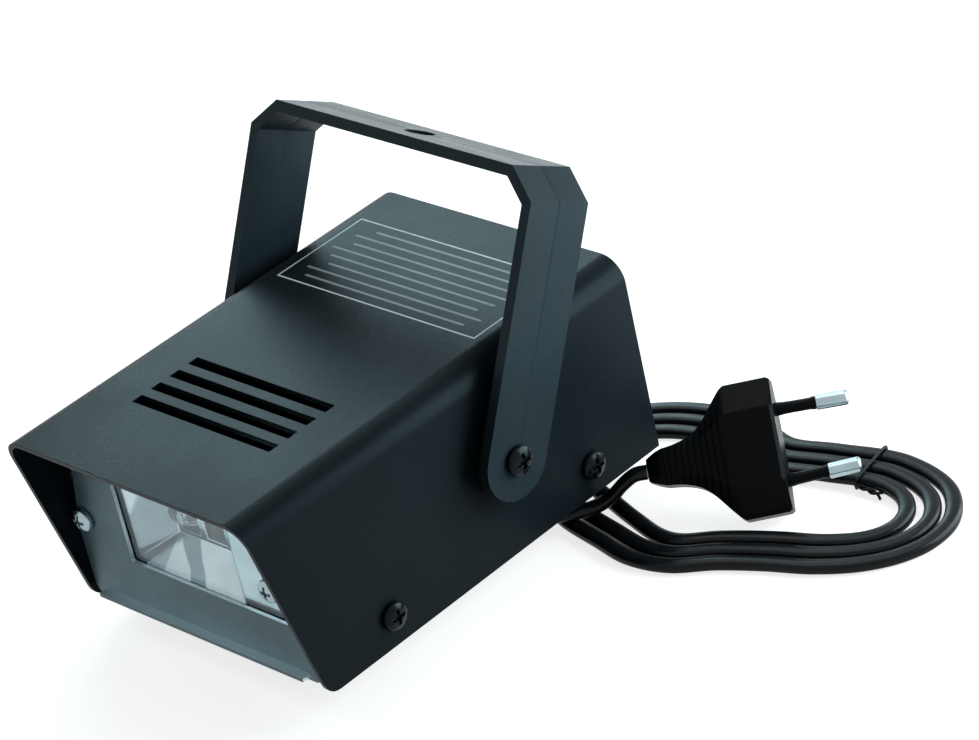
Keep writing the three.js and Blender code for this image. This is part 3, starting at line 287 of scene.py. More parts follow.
@dataclass
class Effects:
    """The shader node groups that several finishes share, each built once.

    A range gives the values that its mask stretches to nought and one.
    """

    cell_share: float = 0.8
    pit_range: tuple[float, float] = (0.0, 0.6)
    scratch_range: tuple[float, float] = (0.4, 0.7)
    patch_range: tuple[float, float] = (0.3, 0.7)
    facing_up: tuple[float, float] = (0.5, 1.0)
    speck_range: tuple[float, float] = (0.62, 0.75)
    rule_reach: float = 0.93
    rule_ragged: float = 0.2
    rule_jump: float = 0.618
    rule_ink: float = 0.40

    def __post_init__(self) -> None:
        """Builds the groups."""
        self.relief = self._relief()
        self.scratches = self._scratches()
        self.variation = self._variation()
        self.dust = self._dust()
        self.rules = self._rules()

    def _relief(self) -> bpy.types.NodeTree:
        """Small bumps all over, as on a powder coat or an eroded mould.

        Returns:
            The group, with a Height and a Mask of its pits.
        """
        group = Group("small_relief", Vector=(0.0, 0.0, 0.0), Size=0.0004, Crisp=0.5)
        vector = group.given["Vector"]
        coarse = group.noise(vector, 2.0)
        scale = group.math("DIVIDE", self.cell_share, group.given["Size"])
        cells = group.add("ShaderNodeTexVoronoi", {"Vector": vector, "Scale": scale}, feature="SMOOTH_F1")
        crisp = group.product(cells.outputs["Distance"], group.given["Crisp"])
        height = group.math("SUBTRACT", coarse, crisp)
        return group.done(Height=height, Mask=group.span(height, *self.pit_range))

    def _scratches(self) -> bpy.types.NodeTree:
        """Fine scratches along one direction.

        Returns:
            The group, with a Height and a Mask.
        """
        group = Group("fine_scratches", Vector=(0.0, 0.0, 0.0), Stretch=(1.0, 1.0, 1.0), Size=0.0003)
        stretched = group.add(
            "ShaderNodeVectorMath", {0: group.given["Vector"], 1: group.given["Stretch"]}, operation="MULTIPLY")
        lines = group.noise(stretched.outputs[0], 3.0, 0.7)
        return group.done(Height=lines, Mask=group.span(lines, *self.scratch_range))

    def _variation(self) -> bpy.types.NodeTree:
        """A group whose Mask changes broadly and softly, as from handling and uneven coating."""
        group = Group("broad_variation", Vector=(0.0, 0.0, 0.0), Size=0.03)
        return group.done(Mask=group.span(group.noise(group.given["Vector"], 4.0), *self.patch_range))

    def _dust(self) -> bpy.types.NodeTree:
        """Specks that settle on what faces up.

        Returns:
            The group, with a Mask.
        """
        group = Group("settled_dust", Vector=(0.0, 0.0, 0.0), Size=0.0012, Amount=0.3)
        *_, upright = group.parts(group.add("ShaderNodeNewGeometry").outputs["Normal"])
        specks = group.span(group.noise(group.given["Vector"], 2.0), *self.speck_range)
        return group.done(Mask=group.product(group.span(upright, *self.facing_up), specks, group.given["Amount"]))

    def _rules(self) -> bpy.types.NodeTree:
        """A thin printed frame on an upward face, with plain rules inside it.

        Returns:
            The group, with a Mask.
        """
        group = Group("printed_frame", Vector=(0.0, 0.0, 0.0), Middle=(0.0, 0.0, 0.0), Half_Width=0.036,
                      Half_Depth=0.016, Level=0.0, Line=0.0005, Rules=8.0, Rule_Line=0.0008)
        wide, deep = group.given["Half Width"], group.given["Half Depth"]
        local = group.add("ShaderNodeVectorMath", {0: group.given["Vector"], 1: group.given["Middle"]},
                          operation="SUBTRACT")
        x, y, z = group.parts(local.outputs[0])
        off_middle = group.math("ABSOLUTE", x)
        across = group.math("SUBTRACT", off_middle, wide)
        along = group.math("SUBTRACT", group.math("ABSOLUTE", y), deep)
        frame_line = group.math(
            "COMPARE", group.math("MAXIMUM", across, along), 0.0, group.product(group.given["Line"], 0.5))
        pitch = group.math("DIVIDE", group.product(deep, 2.0), group.math("ADD", group.given["Rules"], 1.0))
        turns = group.math("DIVIDE", group.math("ADD", y, deep), pitch)
        number = group.math("ROUND", turns)
        off = group.product(group.math("ABSOLUTE", group.math("SUBTRACT", turns, number)), pitch)
        rule_line = group.math("LESS_THAN", off, group.product(group.given["Rule Line"], 0.5))
        shorter = group.product(group.math("FRACT", group.product(number, self.rule_jump)), self.rule_ragged)
        reach = group.product(wide, group.math("SUBTRACT", self.rule_reach, shorter))
        inside = group.math("LESS_THAN", off_middle, reach)
        within = group.math("LESS_THAN", along, group.product(pitch, -0.5))
        rules = group.product(rule_line, inside, within, self.rule_ink)
        level = group.math("GREATER_THAN", z, group.given["Level"])
        return group.done(Mask=group.product(group.math("MAXIMUM", frame_line, rules), level))


EFFECTS = Effects()


@dataclass(frozen=True)
class Finish:
    """What a surface looks like.

    Lengths are in metres. The spreads are shares by which colour and gloss change over the surface. The slot is the
    record's material slot.
    """

    name: str
    slot: str
    colour: Colour
    roughness: float
    metallic: float = 0.0
    specular: float = 0.5
    specular_tint: Colour = WHITE
    texture: Texture = Texture.SMOOTH
    texture_size: float = 0.0004
    depth: float = 0.00001
    stretch: Triple = (1.0, 1.0, 1.0)
    colour_spread: float = 0.12
    gloss_spread: float = 0.08
    least_roughness: float = 0.02
    patch_size: float = 0.02
    wear_size: float = 0.6
    wear_share: float = 0.6
    dust: float = 0.0
    dust_colour: Colour = (0.35, 0.37, 0.38)

    def build(self) -> bpy.types.Material:
        """Makes the material.

        Returns:
            The finished material.
        """
        material = bpy.data.materials.new(self.name)
        material.use_nodes = True
        surface = Surface(material.node_tree)
        inputs = {**self._gloss(surface), "Base Color": self.mark(surface, self._tint(surface)), **self.extra(surface)}
        surface.feed(material.node_tree.nodes["Principled BSDF"], inputs)
        return material

    def _tint(self, surface: Surface) -> Socket:
        """The colour with its broad variation and dust.

        Args:
            surface: The material's nodes.

        Returns:
            The colour's socket.
        """
        low = (*(c * (1 - self.colour_spread) for c in self.colour), 1.0)
        high = (*(min(1.0, c * (1 + self.colour_spread)) for c in self.colour), 1.0)
        patches = surface.use(EFFECTS.variation, Size=self.patch_size)
        colour = surface.mix(patches.outputs["Mask"], low, high)
        if self.dust <= 0.0:
            return colour
        specks = surface.use(EFFECTS.dust, Amount=self.dust)
        return surface.mix(specks.outputs["Mask"], colour, (*self.dust_colour, 1.0))

    def _gloss(self, surface: Surface) -> dict[str, object]:
        """The gloss and the relief.

        Args:
            surface: The material's nodes.

        Returns:
            The shader's inputs that set them.
        """
        if self.texture is Texture.BRUSHED:
            relief = surface.use(EFFECTS.scratches, Size=self.texture_size, Stretch=self.stretch)
        else:
            crisp = {Texture.PEEL: 0.7, Texture.SPARK: 0.4, Texture.SMOOTH: 0.1}[self.texture]
            relief = surface.use(EFFECTS.relief, Size=self.texture_size, Crisp=crisp)
        patches = surface.use(EFFECTS.variation, Size=self.patch_size * self.wear_size)
        wear = surface.math("ADD", surface.product(patches.outputs["Mask"], self.wear_share),
                            surface.product(relief.outputs["Mask"], 1 - self.wear_share))
        least = max(self.least_roughness, self.roughness - self.gloss_spread)
        bump = surface.add("ShaderNodeBump", {"Distance": self.depth, "Height": relief.outputs["Height"]})
        return {"Metallic": self.metallic, "Specular IOR Level": self.specular,
                "Specular Tint": (*self.specular_tint, 1.0), "Normal": bump.outputs[0],
                "Roughness": surface.span(wear, 0.0, 1.0, least, self.roughness + self.gloss_spread)}

    def mark(self, surface: Surface, colour: Socket) -> Socket:
        """The colour with print or other marks on it; a plain finish has none."""
        return colour

    def extra(self, surface: Surface) -> dict[str, object]:
        """The shader's inputs that only some finishes set; a plain finish has none."""
        return {}


@dataclass(frozen=True)
class PrintedCoat(Finish):
    """Powder coat with a thin white frame and plain rules printed on the top face."""

    middle: Triple = (0.0, 0.0, 0.0)
    half_width: float = 0.036
    half_depth: float = 0.016
    level: float = -0.001
    ink: Colour = (0.62, 0.68, 0.69)

    def mark(self, surface: Surface, colour: Socket) -> Socket:
        """The colour with the printed frame."""
        frame_print = surface.use(
            EFFECTS.rules, Middle=self.middle, Half_Width=self.half_width, Half_Depth=self.half_depth, Level=self.level)
        return surface.mix(frame_print.outputs["Mask"], colour, (*self.ink, 1.0))


@dataclass(frozen=True)
class CutSheet(Finish):
    """Coated sheet whose cut edges, which turn away from the front and rear, show bare metal, lightened to near white
    as a painted highlight.
    """

    # Bare metal of the cut edges, lightened to near white as a painted highlight
    bare_edge_highlight: Colour = (0.80, 0.88, 0.90)
    edge_range: tuple[float, float] = (0.25, 0.85)

    def edges(self, surface: Surface) -> Socket:
        """A mask of the bare, highlighted edges: one where the surface turns away from the front and rear, nothing on
        the front and rear faces.
        """
        _, depth, _ = surface.parts(surface.add("ShaderNodeTexCoord").outputs["Normal"])
        return surface.span(surface.math("ABSOLUTE", depth), *self.edge_range, 1.0, 0.0)

    def mark(self, surface: Surface, colour: Socket) -> Socket:
        """The colour with the bare edges and their painted highlight."""
        return surface.mix(self.edges(surface), colour, (*self.bare_edge_highlight, 1.0))

    def extra(self, surface: Surface) -> dict[str, object]:
        """Metal on the bare edges."""
        return {"Metallic": surface.span(self.edges(surface), 0.0, 1.0, self.metallic, 1.0)}


@dataclass(frozen=True)
class PressedWithPaintedReflection(Finish):
    """Bright pressed sheet with a painted reflection of the dark hood and inner parts, darker along a band and on its
    left wing.

    The lengths are in millimetres in the case's frame.
    """

    # Colour of the painted dark reflection
    painted_reflection: Colour = (0.062, 0.118, 0.142)
    share: float = 0.85
    wander: float = 2.4
    soft: float = 0.7
    band_middle: float = 4.3
    band_half: float = 2.8
    band_slope: float = 1.13
    wing_end: float = -14.4
    wing_corner: tuple[float, float] = (0.5, 17.6)
    wing_slope: float = 0.335
    wing_share: float = 0.8

    def mark(self, surface: Surface, colour: Socket) -> Socket:
        """Adds the painted dark reflection along a band and on the left wing.

        Args:
            surface: The material's nodes.
            colour: The colour so far.

        Returns:
            The colour with its painted reflection.
        """
        own_frame = {"Vector": surface.coordinates, "Location": CASE.at(0.0, 0.0, 0.0), "Scale": (MM, MM, MM)}
        place = surface.add("ShaderNodeMapping", own_frame, vector_type="TEXTURE")
        x, y, z = surface.parts(place.outputs[0])
        patches = surface.use(EFFECTS.variation, Size=self.patch_size).outputs["Mask"]
        # Painted reflection: a slanted band, warped by noise, and the left wing behind a slanted edge are mixed towards
        # the dark colour
        across = surface.math("ADD", surface.math("MULTIPLY_ADD", y, self.band_slope, x),
                              surface.product(patches, self.wander))
        off = surface.math("ABSOLUTE", surface.math("SUBTRACT", across, self.band_middle))
        band = surface.span(off, self.band_half, self.band_half + self.soft, 1.0, 0.0)
        front, low = self.wing_corner
        edge = surface.math("MULTIPLY_ADD", z, self.wing_slope, front - low * self.wing_slope)
        behind = surface.span(surface.math("SUBTRACT", y, edge), 0.0, self.soft, 0.0, self.wing_share)
        wing = surface.product(behind, surface.math("LESS_THAN", x, self.wing_end))
        share = surface.product(surface.math("MAXIMUM", band, wing), self.share)
        return surface.mix(share, colour, (*self.painted_reflection, 1.0))


@dataclass(frozen=True)
class Clear(Finish):
    """Clear glass or plastic."""

    ior: float = 1.46

    def extra(self, surface: Surface) -> dict[str, object]:
        """Light that passes through."""
        return {"Transmission Weight": 1.0, "IOR": self.ior}


@dataclass
class Shop:
    """Makes pieces from meshes, dresses them and sets them on their bodies.

    The loose triangles of a modelled node are merged at a distance in metres, and those that lie within an angle in
    degrees of each other become one face. What is turned is merged at a distance in millimetres.
    """

    merge_at: float = 2e-6
    flat_within: float = 0.6
    turned_steps: int = 32
    turned_merge_at: float = 1e-4

    def __post_init__(self) -> None:
        """Starts with no material made."""
        self.materials: dict[str, bpy.types.Material] = {}

    def clothe(self, piece: bpy.types.Object, finish: Finish) -> None:
        """Gives a piece its material.

        Args:
            piece: The piece.
            finish: Its finish, whose material is made once.
        """
        if finish.name not in self.materials:
            self.materials[finish.name] = finish.build()
        piece.data.materials.clear()
        piece.data.materials.append(self.materials[finish.name])

    def dress(self, finish: Finish, *nodes: str) -> None:
        """Gives modelled nodes a material and leaves their shape alone.

        Args:
            finish: Their finish.
            *nodes: The nodes' names.
        """
        for node in nodes:
            self.clothe(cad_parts[node], finish)
            LOG.info("dressed %s", node)

    def settle(self, name: str, mesh: bpy.types.Mesh, finish: Finish, *stands_for: str, body: Body = Body.HOUSING,
               slot: str = "", sharp: float = 32.0) -> bpy.types.Object:
        """Turns a finished mesh into a piece on its body.

        Args:
            name: The piece's name.
            mesh: Its mesh, in place.
            finish: Its finish.
            *stands_for: Nodes that it replaces.
            body: The body it rides on.
            slot: The record's material slot, if it isn't the finish's own; it is not used.
            sharp: Angle in degrees past which an edge stays sharp.

        Returns:
            The piece.
        """
        mesh.shade_smooth()
        mesh.set_sharp_from_angle(angle=math.radians(sharp))
        piece = placed(name, mesh)
        piece.modifiers.new("even_shading", "WEIGHTED_NORMAL").keep_sharp = True
        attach(piece, body.value)
        self.clothe(piece, finish)
        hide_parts(*stands_for)
        LOG.info("made %s: %d faces", name, len(mesh.polygons))
        return piece

    def turned(self, profile: Sequence[tuple[float, float]], place: Matrix) -> bpy.types.Mesh:
        """Turns a profile about the X axis of a frame.

        Args:
            profile: Points (x, radius), in millimetres.
            place: The frame's matrix in the case's frame.

        Returns:
            The turned mesh.
        """
        shape = bmesh.new()
        knots = [shape.verts.new((x, radius, 0.0)) for x, radius in profile]
        for first, second in zip(knots, knots[1:]):
            shape.edges.new((first, second))
        bmesh.ops.spin(shape, geom=[*shape.verts, *shape.edges], cent=(0, 0, 0), axis=(1, 0, 0), angle=FULL_TURN,
                       steps=self.turned_steps, use_merge=True)
        bmesh.ops.remove_doubles(shape, verts=shape.verts, dist=self.turned_merge_at)
        bmesh.ops.recalc_face_normals(shape, faces=shape.faces)
        return mesh_of(shape, "turned", place)

    def refine(self, node: str, finish: Finish, edge: float, segments: int = 2, angle: float = 28.0,
               body: Body = Body.HOUSING, slot: str = "",
               work: Callable[[bmesh.types.BMesh], None] | None = None) -> bpy.types.Object:
        """Makes a finer piece from a copy of a modelled node: merged, with its edges broken.

        Args:
            node: The node.
            finish: The piece's finish.
            edge: Width of the broken edges, in millimetres.
            segments: Steps across an edge.
            angle: Angle in degrees past which an edge is broken.
            body: The body it rides on.
            slot: The record's material slot, if it isn't the finish's own.
            work: What else is done to the shape, once its edges are broken.

        Returns:
            The piece.
        """
        shape = bmesh.new()
        shape.from_mesh(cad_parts[node].data)
        bmesh.ops.remove_doubles(shape, verts=shape.verts, dist=self.merge_at)
        bmesh.ops.dissolve_limit(shape, angle_limit=math.radians(self.flat_within), verts=shape.verts,
                                 edges=shape.edges, use_dissolve_boundaries=False)
        broken_edges(shape, [e for e in shape.edges if len(e.link_faces) == 2
                             and e.calc_face_angle() > math.radians(angle)], edge * MM, segments)
        if work:
            work(shape)
        name = node + "_fine"
        return self.settle(name, mesh_of(shape, name), finish, node, body=body, slot=slot)


# In millimetres: the printed frame's front and rear edges behind the hood's tip, how far that tip reaches past the
# cover's lower front corner, and the cover's height
PRINT_SPAN = (90.1, 121.6)
HOOD_REACH = 13.0
COVER_TOP = 57.0

TEAL: Colour = (0.65, 0.92, 1.0)
GLASS_TEAL: Colour = (0.50, 0.88, 1.0)
SLATE_COAT = PrintedCoat(
    "slate_powder_coat", "case_coat", (0.0074, 0.0115, 0.0148), 0.31, specular=0.055, specular_tint=TEAL,
    texture=Texture.PEEL, texture_size=0.0003, depth=0.00004, patch_size=0.05, dust=0.02,
    middle=tuple(CASE.at(0.0, -HOOD_REACH + sum(PRINT_SPAN) / 2, COVER_TOP)), half_width=36.2 * MM,
    half_depth=15.75 * MM)
TRAY_COAT = Finish(
    "tray_powder_coat", "tray_coat", (0.007, 0.011, 0.014), 0.45, specular=0.08, specular_tint=TEAL,
    texture=Texture.PEEL, depth=0.00003, patch_size=0.05)
PANEL_GREY = CutSheet(
    "satin_grey_coat", "panel_grey", (0.118, 0.180, 0.206), 0.38, metallic=0.2, specular=0.3, specular_tint=TEAL,
    texture=Texture.PEEL, depth=0.000015, colour_spread=0.15)
REFLECTOR = PressedWithPaintedReflection(
    "bright_reflector", "reflector_bright", (0.40, 0.50, 0.53), 0.12, metallic=1.0,
    specular_tint=(0.62, 0.92, 1.0), texture_size=0.007, depth=0.00012, colour_spread=0.16, gloss_spread=0.05,
    patch_size=0.010)
PANE = Clear(
    "clear_pane", "clear_pane", (0.97, 1.0, 1.0), 0.02, specular_tint=GLASS_TEAL, texture_size=0.01,
    depth=0.000002, colour_spread=0.01, gloss_spread=0.01, ior=1.45)
TUBE = Clear(
    "tube_glass", "tube_glass", (0.96, 0.99, 1.0), 0.03, specular_tint=GLASS_TEAL, texture_size=0.006,
    colour_spread=0.01, gloss_spread=0.02)
CERAMIC = Finish(
    "unglazed_ceramic", "ceramic", (0.46, 0.52, 0.54), 0.75, specular=0.2, texture=Texture.SPARK, depth=0.00003)
LAMINATE = Finish(
    "board_laminate", "board", (0.10, 0.16, 0.13), 0.5, specular=0.3, texture=Texture.BRUSHED,
    texture_size=0.0006, stretch=(1.0, 0.15, 1.0), depth=0.00002, colour_spread=0.2, patch_size=0.008)
COPPER = Finish(
    "enamelled_winding", "winding", (0.50, 0.20, 0.07), 0.35, metallic=0.8, texture=Texture.BRUSHED,
    texture_size=0.0003, stretch=(0.1, 0.1, 1.0), depth=0.00008)
SLEEVE_BLUE = Finish(
    "shrunk_sleeve", "capacitor_sleeve", (0.03, 0.06, 0.15), 0.3, specular=0.3, texture_size=0.003, depth=0.00003)
ZINC = Finish(
    "zinc_plate", "zinc", (0.55, 0.57, 0.58), 0.32, metallic=1.0, texture=Texture.BRUSHED, texture_size=0.0003,
    stretch=(1.0, 0.2, 1.0), patch_size=0.004)
NICKEL = Finish(
    "bright_nickel", "chrome", (0.33, 0.42, 0.45), 0.27, metallic=1.0, texture=Texture.BRUSHED,
    texture_size=0.0003, stretch=(0.2, 1.0, 1.0), depth=0.000002, colour_spread=0.08, patch_size=0.004)
BLACK_STEEL = Finish(
    "black_steel", "black_steel", (0.003, 0.004, 0.005), 0.18, specular=0.12, specular_tint=TEAL,
    texture_size=0.0008, depth=0.00002, patch_size=0.003)
STRAP = Finish(
    "strap_moulding", "bracket_plastic", (0.017, 0.028, 0.0345), 0.28, specular=0.1, specular_tint=TEAL,
    texture=Texture.SPARK, depth=0.00002, patch_size=0.03, dust=0.02)
SATIN_PLASTIC = Finish(
    "satin_black_plastic", "black_plastic", (0.004, 0.006, 0.008), 0.42, specular=0.1, texture=Texture.SPARK,
    depth=0.00003, patch_size=0.01)
PLUG_VINYL = Finish(
    "plug_vinyl", "plug_plastic", (0.0015, 0.0022, 0.0030), 0.32, specular=0.045, texture=Texture.SPARK,
    texture_size=0.0005, depth=0.00003, patch_size=0.012)
FLEX_VINYL = Finish(
    "flex_vinyl", "flex", (0.0035, 0.0050, 0.0065), 0.24, specular=0.13, texture_size=0.002, depth=0.00003,
    patch_size=0.012)
RUBBER = Finish(
    "matt_rubber", "rubber", (0.010, 0.012, 0.014), 0.75, specular=0.15, texture=Texture.SPARK,
    texture_size=0.0005, depth=0.00004, patch_size=0.01, dust=0.05)

SIDES = ("left", "right")
# Steps across a broken edge that shows
FINE = 3


@dataclass
class Case:
    """The folded cover, the base tray, the feet and the screws that join them."""

    cover_edge: float = 0.16
    tray_edge: float = 0.2
    foot_edge: float = 0.35
    screw_edge: float = 0.16
    feet: int = 4

    def build(self, shop: Shop) -> None:
        """Makes and dresses the case.

        Args:
            shop: Where pieces are made.
        """
        shop.refine("cover", SLATE_COAT, self.cover_edge, FINE)
        shop.refine("base_tray", TRAY_COAT, self.tray_edge)
        for number in range(1, self.feet + 1):
            shop.refine(f"foot_{number}", RUBBER, self.foot_edge)
        for side in SIDES:
            for end in ("front", "rear"):
                shop.refine(f"case_screw_{side}_{end}", BLACK_STEEL, self.screw_edge, FINE)


@dataclass
class LampUnit:
    """The grey front panel, the pane, the reflector, the flash tube and their screws."""

    panel_edge: float = 0.18
    pane_edge: float = 0.1
    reflector_edge: float = 0.25
    screw_edge: float = 0.16
    tube_edge: float = 0.2
    tube_angle: float = 60.0
    holder_edge: float = 0.3

    def build(self, shop: Shop) -> None:
        """Makes and dresses the lamp unit.

        Args:
            shop: Where pieces are made.
        """
        shop.refine("front_panel", PANEL_GREY, self.panel_edge)
        shop.refine("window_pane", PANE, self.pane_edge)
        shop.refine("reflector", REFLECTOR, self.reflector_edge, FINE)
        shop.refine("flash_tube", TUBE, self.tube_edge, angle=self.tube_angle)
        shop.refine("tube_holder", CERAMIC, self.holder_edge)
        for side in SIDES:
            shop.refine(f"lamp_screw_{side}", NICKEL, self.screw_edge, FINE)
        shop.dress(ZINC, "lamp_nut_left", "lamp_nut_right")


@dataclass
class Electronics:
    """The circuit board and what stands on it, inside the case."""

    standoffs: int = 4
    capacitor_edge: float = 0.5

    def build(self, shop: Shop) -> None:
        """Dresses the board.

        Args:
            shop: Where pieces are made.
        """
        shop.dress(LAMINATE, "circuit_board")
        shop.dress(ZINC, *(f"standoff_{number}" for number in range(1, self.standoffs + 1)))
        for number in (1, 2):
            shop.refine(f"storage_capacitor_{number}", SLEEVE_BLUE, self.capacitor_edge)
        shop.dress(COPPER, "trigger_coil")
        shop.dress(CERAMIC, "ballast_resistor")
        shop.dress(SATIN_PLASTIC, "thyristor")


@dataclass
class SpeedControl:
    """The potentiometer in the rear wall with its nut, shaft and knob."""

    nut_edge: float = 0.2
    knob_edge: float = 0.25

    def build(self, shop: Shop) -> None:
        """Makes and dresses the control.

        Args:
            shop: Where pieces are made.
        """
        shop.dress(ZINC, "potentiometer")
        shop.refine("potentiometer_nut", ZINC, self.nut_edge)
        shop.dress(ZINC, "control_shaft")
        shop.refine("speed_knob", SATIN_PLASTIC, self.knob_edge, body=Body.KNOB, slot="knob_plastic")


@dataclass
class Bracket:
    """The moulded strap and the screws, nuts and spacers that it turns on.

    The pivot is in millimetres in the case's frame, and the lean is the strap's at rest, in degrees to the rear. A
    cut takes up corners within its reach, in metres.
    """

    strap_edge: float = 0.55
    screw_edge: float = 0.18
    spacer_edge: float = 0.25
    pivot: Triple = (0.0, 69.7, 29.5)
    lean: float = 29.0
    line_half_width: float = 0.24
    line_depth: float = 0.35
    cut_reach: float = 1e-7

    def build(self, shop: Shop) -> None:
        """Makes and dresses the bracket.

        Args:
            shop: Where pieces are made.
        """
        shop.refine("bracket", STRAP, self.strap_edge, FINE, body=Body.BRACKET, work=self.score)
        for side in SIDES:
            shop.refine(f"pivot_screw_{side}", BLACK_STEEL, self.screw_edge, FINE)
            shop.refine(f"pivot_spacer_{side}", STRAP, self.spacer_edge)
        shop.dress(ZINC, "pivot_nut_left", "pivot_nut_right")

    def score(self, shape: bmesh.types.BMesh) -> None:
        """Cuts the fine groove that the mould's halves leave along the middle of the strap.

        Args:
            shape: The strap's shape.
        """
        lean = math.radians(self.lean)
        across = Vector((0.0, math.cos(lean), -math.sin(lean)))
        for offset in (-self.line_half_width, self.line_half_width, 0.0):
            cut = bmesh.ops.bisect_plane(
                shape, geom=[*shape.verts, *shape.edges, *shape.faces], dist=self.cut_reach,
                plane_co=CASE.at(*self.pivot) + across * offset * MM, plane_no=across)["geom_cut"]
        shape.normal_update()
        for vert in [item for item in cut if isinstance(item, bmesh.types.BMVert)]:
            vert.co -= vert.normal * self.line_depth * MM


@dataclass
class Plug:
    """The flat two-pin plug along its own X axis, with nought at its pin face.

    Lengths are in millimetres. The sleeve is a profile of places along a pin and their radii.
    """

    length: float = 35.0
    body: float = 12.5
    half_width: float = 17.65
    half_thickness: float = 6.6
    edge_half: float = 2.8
    bevel: float = 8.0
    bevel_most: float = 0.45
    edge_most: float = 0.75
    brim: float = 0.6
    brim_depth: float = 0.9
    waist: float = 6.0
    shoulder: tuple[float, float] = (0.4, 0.6)
    grip_half_width: float = 4.6
    grip_half_thickness: float = 3.6
    grip_flare: float = 1.1
    ribs: int = 10
    rib_pitch: float = 1.75
    rib_depth: float = 0.55
    first_rib: float = 1.2
    rib_steps: tuple[tuple[float, float], ...] = ((-0.27, 0.0), (-0.20, 1.0), (0.20, 1.0), (0.27, 0.0))
    halvings: int = 24
    soft_edge: float = 0.35
    soft_angle: float = 25.0
    soft_along: float = 0.5
    soft_behind: float = 0.7
    taper: float = 5.5
    taper_steps: int = 6
    taper_power: float = 1.6
    tip_half_width: float = 2.9
    tip_half_thickness: float = 2.2
    pin_spread: float = 9.3
    pin_root: float = -6.1
    pin_length: float = 19.0
    pin_radius: float = 2.0
    pin_round: float = 1.0
    pin_collar: float = 0.15
    pin_steps: int = 6
    pin_lean: float = 1.7
    core_radius: float = 1.3
    sleeve_gap: float = 0.05
    sleeve_end: float = 10.5
    sleeve: tuple[tuple[float, float], ...] = (
        (-6.1, 1.35), (-6.1, 1.75), (0.8, 1.75), (2.2, 1.6), (4.5, 1.55), (8.9, 1.55), (9.9, 1.75), (10.5, 1.65),
        (10.5, 1.35), (-6.1, 1.35))

    def widths(self, x: float) -> tuple[float, float]:
        """Half sizes of the body.

        Args:
            x: Place along the plug, nought at its pin face and negative towards the cord.

        Returns:
            Half the width and half the thickness there.
        """
        share = max(0.0, (-x - self.body) / (self.length - self.body))
        thick = self.half_thickness + (self.grip_half_thickness - self.half_thickness) * share
        if share <= 0.0:
            return self.half_width, thick
        low, high = 0.0, 1.0
        knots = ((self.body, self.half_width), (self.body + self.bevel, self.half_width / 2),
                 (self.length - 2 * self.bevel, self.grip_half_width * self.grip_flare),
                 (self.length, self.grip_half_width))

        def curve(t: float, axis: int) -> float:
            """One coordinate of the outline at a share of its length."""
            a, b, c, d = (knot[axis] for knot in knots)
            return a * (1 - t) ** 3 + 3 * b * t * (1 - t) ** 2 + 3 * c * t ** 2 * (1 - t) + d * t ** 3

        for _ in range(self.halvings):
            middle = (low + high) / 2
            low, high = (middle, high) if curve(middle, 0) < -x else (low, middle)
        return curve(low, 1), thick

    def stations(self) -> list[Triple]:
        """Places along the plug with their half width and half thickness.

        Returns:
            The stations, from the pin face to the grip's end.
        """
        before, behind = self.shoulder
        places = (-self.brim_depth, -self.waist, -self.body + before, -self.body - behind)
        stations = [(x, *self.widths(x)) for x in places]
        for rib in range(self.ribs):
            middle = -self.body - self.rib_pitch * (rib + self.first_rib)
            for step, sunk in self.rib_steps:
                x = middle - step * self.rib_pitch
                half, thick = self.widths(x)
                stations.append((x, half, thick - sunk * self.rib_depth))
        half, thick = self.widths(-self.length + self.taper)
        for step in range(1, self.taper_steps + 1):
            share = step / self.taper_steps
            ease = share ** self.taper_power
            stations.append((-self.length + self.taper * (1 - share), half + (self.tip_half_width - half) * ease,
                             thick + (self.tip_half_thickness - thick) * ease))
        return stations

    def ring(self, half: float, thick: float) -> list[tuple[float, float]]:
        """Corners of the body's section.

        Args:
            half: Half the width.
            thick: Half the thickness.

        Returns:
            Eight corners (y, z) in order.
        """
        bevel = min(self.bevel, self.bevel_most * half)
        edge = min(self.edge_half, self.edge_most * thick)
        quarter = [(edge, half), (thick, half - bevel)]
        right = quarter + [(y, -z) for y, z in reversed(quarter)]
        return right + [(-y, -z) for y, z in right]

    def build(self, shop: Shop, turn: Matrix) -> bpy.types.Object:
        """Makes the plug's body.

        Args:
            shop: Where pieces are made.
            turn: The plug's matrix in the case's frame.

        Returns:
            The body.
        """
        stations = self.stations()
        _, half, thick = stations[0]
        shape = bmesh.new()
        end = shape.faces.new([shape.verts.new((0.0, y, z)) for y, z in self.ring(half - self.brim, thick - self.brim)])
        for x, half, thick in stations:
            grown = bmesh.ops.extrude_face_region(shape, geom=[end])
            bmesh.ops.delete(shape, geom=[end], context="FACES_ONLY")
            end = next(item for item in grown["geom"] if isinstance(item, bmesh.types.BMFace))
            for (y, z), vert in zip(self.follow(list(end.verts), self.ring(half, thick)), end.verts):
                vert.co = (x, y, z)
        bmesh.ops.contextual_create(shape, geom=[e for e in shape.edges if e.is_boundary])
        bmesh.ops.recalc_face_normals(shape, faces=shape.faces)
        rear = -self.body - self.soft_behind
        broken_edges(shape, [
            e for e in shape.edges if len(e.link_faces) == 2 and e.calc_face_angle() > math.radians(self.soft_angle)
            and abs((e.verts[0].co - e.verts[1].co).normalized().x) > self.soft_along
            and min(v.co.x for v in e.verts) > rear], self.soft_edge, FINE)
        bmesh.ops.triangulate(shape, faces=[f for f in shape.faces if len(f.verts) > 4])
        name = "plug_body_fine"
        return shop.settle(name, mesh_of(shape, name, turn), PLUG_VINYL, "plug_body", sharp=24.0)

